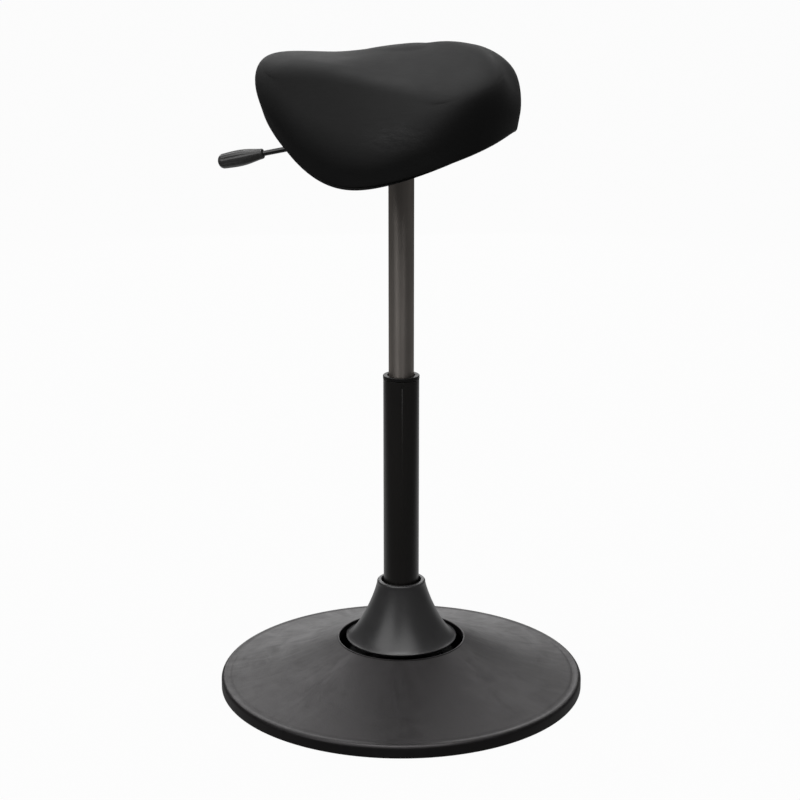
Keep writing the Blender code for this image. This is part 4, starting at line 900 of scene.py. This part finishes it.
def make_cushion():
    """Cover and foam as one form, by rings from the crown to the hem and on below it."""
    sections = [section(angle) for angle in seat_angles]
    rings = [[seat_point(0, 0, CROWN_HEIGHT)]]
    for index in range(len(sections[0])):
        ring = [seat_point(angle, *points[index]) for angle, points in zip(seat_angles, sections)]
        amount = clamped((EASE_END - index) / EASE_FADE)
        rings.append(eased(ring, amount) if amount > 0 else ring)
    hem_lift = -HEM_GAP - SKIN
    rings += [under_ring(0.0, share, hem_lift) for share in HEM_SHARES]
    rings += [under_ring(SHELL_INSET, share, SHELL_TOP) for share in SHELL_SHARES]
    rings.append([seat_point(0, 0, SHELL_TOP)])
    shape = lofted(rings)
    replaced, slot, smooth = ("seat_foam", "seat_cover"), "leatherette", CUSHION_SMOOTH_ANGLE
    made = piece("seat_cushion", shape, leatherette, "seat", replaced, smooth)


def lip_ring(inset):
    """Ring along the foot of the panel's lip, by the rolled hem."""
    ring = []
    for angle in seat_angles:
        reach = hem_reach(angle) - hem_roll_at(angle) - inset
        ring.append(seat_point(angle, reach, hem_height_at(angle) - lip_and_shade_drop_at(angle)))
    return ring


def make_under_panel():
    """Moulded panel under the shell, with a lip that shows as a thin dark edge below the cover,
    partly the panel and partly painted shade for the shadow under the hem.
    """
    top_lift = -HEM_GAP * 2 - SKIN
    foot_lift = top_lift - UNDER_COVER_THICKNESS
    shares = [step / PANEL_STEPS for step in range(PANEL_STEPS, PANEL_OPENING, -1)]
    upper = [under_ring(0.0, share, top_lift) for share in shares[::-1]]
    lip = [lip_ring(0.0), lip_ring(LIP_THICKNESS)]
    lower = [under_ring(LIP_THICKNESS, share, foot_lift) for share in shares]
    shape = lofted(upper + lip + lower, closed=True)
    slot, smooth = "shell_plastic", MOULDED_SMOOTH_ANGLE
    piece("under_panel", shape, panel_plastic, "seat", ("under_cover",), smooth)


# Finishes

leatherette = make_leatherette()
base_plastic = make_base_plastic()
boot_plastic = make_boot_plastic()
tube_paint = make_tube_paint()
spring_metal = make_spring_metal()
steel = make_steel()
collar_plastic = make_plastic(
    "collar_look",
    colour=(0.0075, 0.0071, 0.0068),
    other=(0.010, 0.0095, 0.0091),
    roughness=0.4,
    spread=0.05,
    grain=0.0001,
)
# near-black panel; its lip below the cover's hem is partly painted shade for the shadow under the
# hem
panel_plastic = make_plastic(
    "panel_look",
    colour=(0.003, 0.003, 0.003),
    other=(0.0045, 0.0045, 0.0045),
    roughness=0.6,
    spread=0.05,
    grain=0.0002,
)
plate_paint = make_plastic(
    "plate_look",
    colour=(0.009, 0.009, 0.009),
    other=(0.012, 0.012, 0.012),
    roughness=0.5,
    spread=0.06,
    grain=0.0002,
)
lever_paint = make_plastic(
    "lever_look",
    colour=(0.008, 0.008, 0.008),
    other=(0.010, 0.010, 0.010),
    roughness=0.16,
    spread=0.03,
    grain=0.00001,
    specular=1.0,
)
handle_plastic = make_plastic(
    "handle_look",
    colour=(0.050, 0.0494, 0.049),
    other=(0.060, 0.0594, 0.059),
    roughness=0.29,
    spread=0.04,
    grain=0.00002,
    specular=0.8,
)
# painted shade: near-black for inner parts, standing in for the shade in the gap round the boot's
# foot
painted_shade_black = make_plastic(
    "painted_shade_black_look",
    colour=(0.004, 0.004, 0.004),
    other=(0.006, 0.006, 0.006),
    roughness=0.7,
    spread=0.05,
    grain=0.0002,
    specular=0.2,
)
rubber = make_plastic(
    "rubber_look",
    colour=(0.008, 0.008, 0.008),
    other=(0.012, 0.012, 0.012),
    roughness=0.75,
    spread=0.06,
    grain=0.0003,
)

# painted shade: inner parts that show in the gap round the boot's foot get a near-black finish, so
# that the gap reads as shade
PAINTED_SHADE_NODES = ("clamp_", "tilt_housing", "column_socket", "base_weight")
looks = {
    "black_plastic": base_plastic,
    "boot_plastic": boot_plastic,
    "steel": steel,
    "rubber": rubber,
    "tube_paint": tube_paint,
    "sleeve_plastic": collar_plastic,
    "cylinder_finish": spring_metal,
    "leatherette": leatherette,
    "foam": make_foam(),
    "shell_plastic": panel_plastic,
    "plate_paint": plate_paint,
    "lever_paint": lever_paint,
    "handle_plastic": handle_plastic,
}
for subpart in frame["record"]["subparts"]:
    node = nodes[subpart["node"]]
    node.data.materials.clear()
    in_painted_shade = subpart["node"].startswith(PAINTED_SHADE_NODES)
    node.data.materials.append(painted_shade_black if in_painted_shade else looks[subpart["material_slot"]])

make_base()
make_boot()
make_tubes()
make_lever()
make_cushion()
make_under_panel()

# Stage

FRONT = Vector((cos(CAMERA_YAW), sin(CAMERA_YAW), 0))
RIGHT = Vector((-sin(CAMERA_YAW), cos(CAMERA_YAW), 0))
UP = Vector((0, 0, 1))
LIGHT_CENTRE = Vector((0, 0, 0.35))
LIGHT_DISTANCE = 3.0
REFLECTED_SPOT = FRONT * -1.1  # floor that shows white in reflections, behind the stool
REFLECTED_FLOOR = (0.8, 1.4, 0.5, 0.07)  # near and far distance, then the glow at each
REFLECTED_STUDIO = 0.06
STUDIO_FILL = 0.06
FLOOR_HALF_SIZE = 30
FLOOR_GREY = 0.3
FLOOR_GLOW_SHARE = 0.97  # of the floor as it is seen, so that a soft shadow shows
SOFTBOXES = {  # degrees up, degrees to the right of the camera, size, radiance
    "overhead": (88, 0, 1.6, 7.6),
    "key": (40, -46, 2.4, 1.3),
    "front": (50, 14, 2.2, 1.17),
    "left_ceiling": (68, -90, 1.6, 0.92),
    "back_ceiling": (58, 180, 1.8, 0.55),
    "backdrop": (12, -178, 2.2, 1.35),
    "back_left": (37, -148, 1.6, 2.0),
    "back_right": (37, 148, 1.6, 1.4),
}


def graph_maths(tree, operation, one, two):
    made = tree.nodes.new("ShaderNodeMath")
    made.operation = operation
    for socket, value in zip(made.inputs, (one, two)):
        if isinstance(value, (int, float)):
            socket.default_value = value
        else:
            tree.links.new(value, socket)
    return made.outputs[0]


def make_floor():
    """White where the camera looks, with a soft shadow, and grey for the light it sends on."""
    shape = bmesh.new()
    bmesh.ops.create_grid(shape, x_segments=1, y_segments=1, size=FLOOR_HALF_SIZE)
    mesh = bpy.data.meshes.new("floor")
    shape.to_mesh(mesh)
    shape.free()
    floor = bpy.data.objects.new("floor", mesh)
    bpy.context.scene.collection.objects.link(floor)
    made = bpy.data.materials.new("floor_look")
    made.use_nodes = True
    tree = made.node_tree
    tree.nodes.clear()
    out = tree.nodes.new("ShaderNodeOutputMaterial")
    mix = tree.nodes.new("ShaderNodeMixShader")
    diffuse = tree.nodes.new("ShaderNodeBsdfDiffuse")
    diffuse.inputs["Color"].default_value = (FLOOR_GREY, FLOOR_GREY, FLOOR_GREY, 1)
    glow = tree.nodes.new("ShaderNodeEmission")
    path = tree.nodes.new("ShaderNodeLightPath").outputs
    seen = graph_maths(tree, "MAXIMUM", path["Is Camera Ray"], path["Is Transmission Ray"])
    away = tree.nodes.new("ShaderNodeVectorMath")
    away.operation = "DISTANCE"
    away.inputs[1].default_value = REFLECTED_SPOT
    tree.links.new(tree.nodes.new("ShaderNodeNewGeometry").outputs["Position"], away.inputs[0])
    reflected = tree.nodes.new("ShaderNodeMapRange")
    reflected.interpolation_type = "SMOOTHSTEP"
    for name, value in zip(("From Min", "From Max", "To Min", "To Max"), REFLECTED_FLOOR):
        reflected.inputs[name].default_value = value
    tree.links.new(away.outputs["Value"], reflected.inputs["Value"])
    strength = graph_maths(tree, "MAXIMUM", seen, reflected.outputs["Result"])
    tree.links.new(strength, glow.inputs["Strength"])
    shown = graph_maths(tree, "MAXIMUM", seen, path["Is Glossy Ray"])
    tree.links.new(graph_maths(tree, "MULTIPLY", shown, FLOOR_GLOW_SHARE), mix.inputs[0])
    tree.links.new(diffuse.outputs[0], mix.inputs[1])
    tree.links.new(glow.outputs[0], mix.inputs[2])
    tree.links.new(mix.outputs[0], out.inputs[0])
    mesh.materials.append(made)


def make_world():
    """White where the camera looks, and a dim studio for everything else."""
    world = bpy.data.worlds.new("studio")
    bpy.context.scene.world = world
    world.use_nodes = True
    tree = world.node_tree
    shade = tree.nodes["Background"]
    shade.inputs["Color"].default_value = (1, 1, 1, 1)
    path = tree.nodes.new("ShaderNodeLightPath").outputs
    seen = graph_maths(tree, "MAXIMUM", path["Is Camera Ray"], path["Is Transmission Ray"])
    reflected = graph_maths(tree, "MULTIPLY", path["Is Glossy Ray"], REFLECTED_STUDIO)
    shown = graph_maths(tree, "MAXIMUM", seen, reflected)
    tree.links.new(graph_maths(tree, "MAXIMUM", shown, STUDIO_FILL), shade.inputs["Strength"])


def softbox(name, elevation, azimuth, size, radiance):
    """Round softbox, by its height above the horizon and its turn to the right from the camera."""
    level = FRONT * cos(radians(azimuth)) + RIGHT * sin(radians(azimuth))
    direction = level * cos(radians(elevation)) + UP * sin(radians(elevation))
    data = bpy.data.lights.new(name, "AREA")
    data.shape = "DISK"
    data.size = size
    data.energy = radiance * (pi * size / 2) ** 2
    made = bpy.data.objects.new(name, data)
    made.location = LIGHT_CENTRE + direction * LIGHT_DISTANCE
    made.rotation_euler = (-direction).to_track_quat("-Z", "Y").to_euler()
    bpy.context.scene.collection.objects.link(made)


def make_camera():
    data = bpy.data.cameras.new("camera")
    data.lens = CAMERA_LENS
    data.sensor_width = CAMERA_SENSOR
    data.sensor_fit = "HORIZONTAL"
    made = bpy.data.objects.new("camera", data)
    made.location = FRONT * CAMERA_DISTANCE - RIGHT * CAMERA_SIDESTEP + UP * CAMERA_HEIGHT
    made.rotation_euler = (pi / 2 - CAMERA_PITCH, 0, pi / 2 + CAMERA_YAW)
    bpy.context.scene.collection.objects.link(made)
    bpy.context.scene.camera = made


make_floor()
make_world()
make_camera()
for name, values in SOFTBOXES.items():
    softbox(name, *values)
bpy.context.scene.view_settings.view_transform = "Standard"
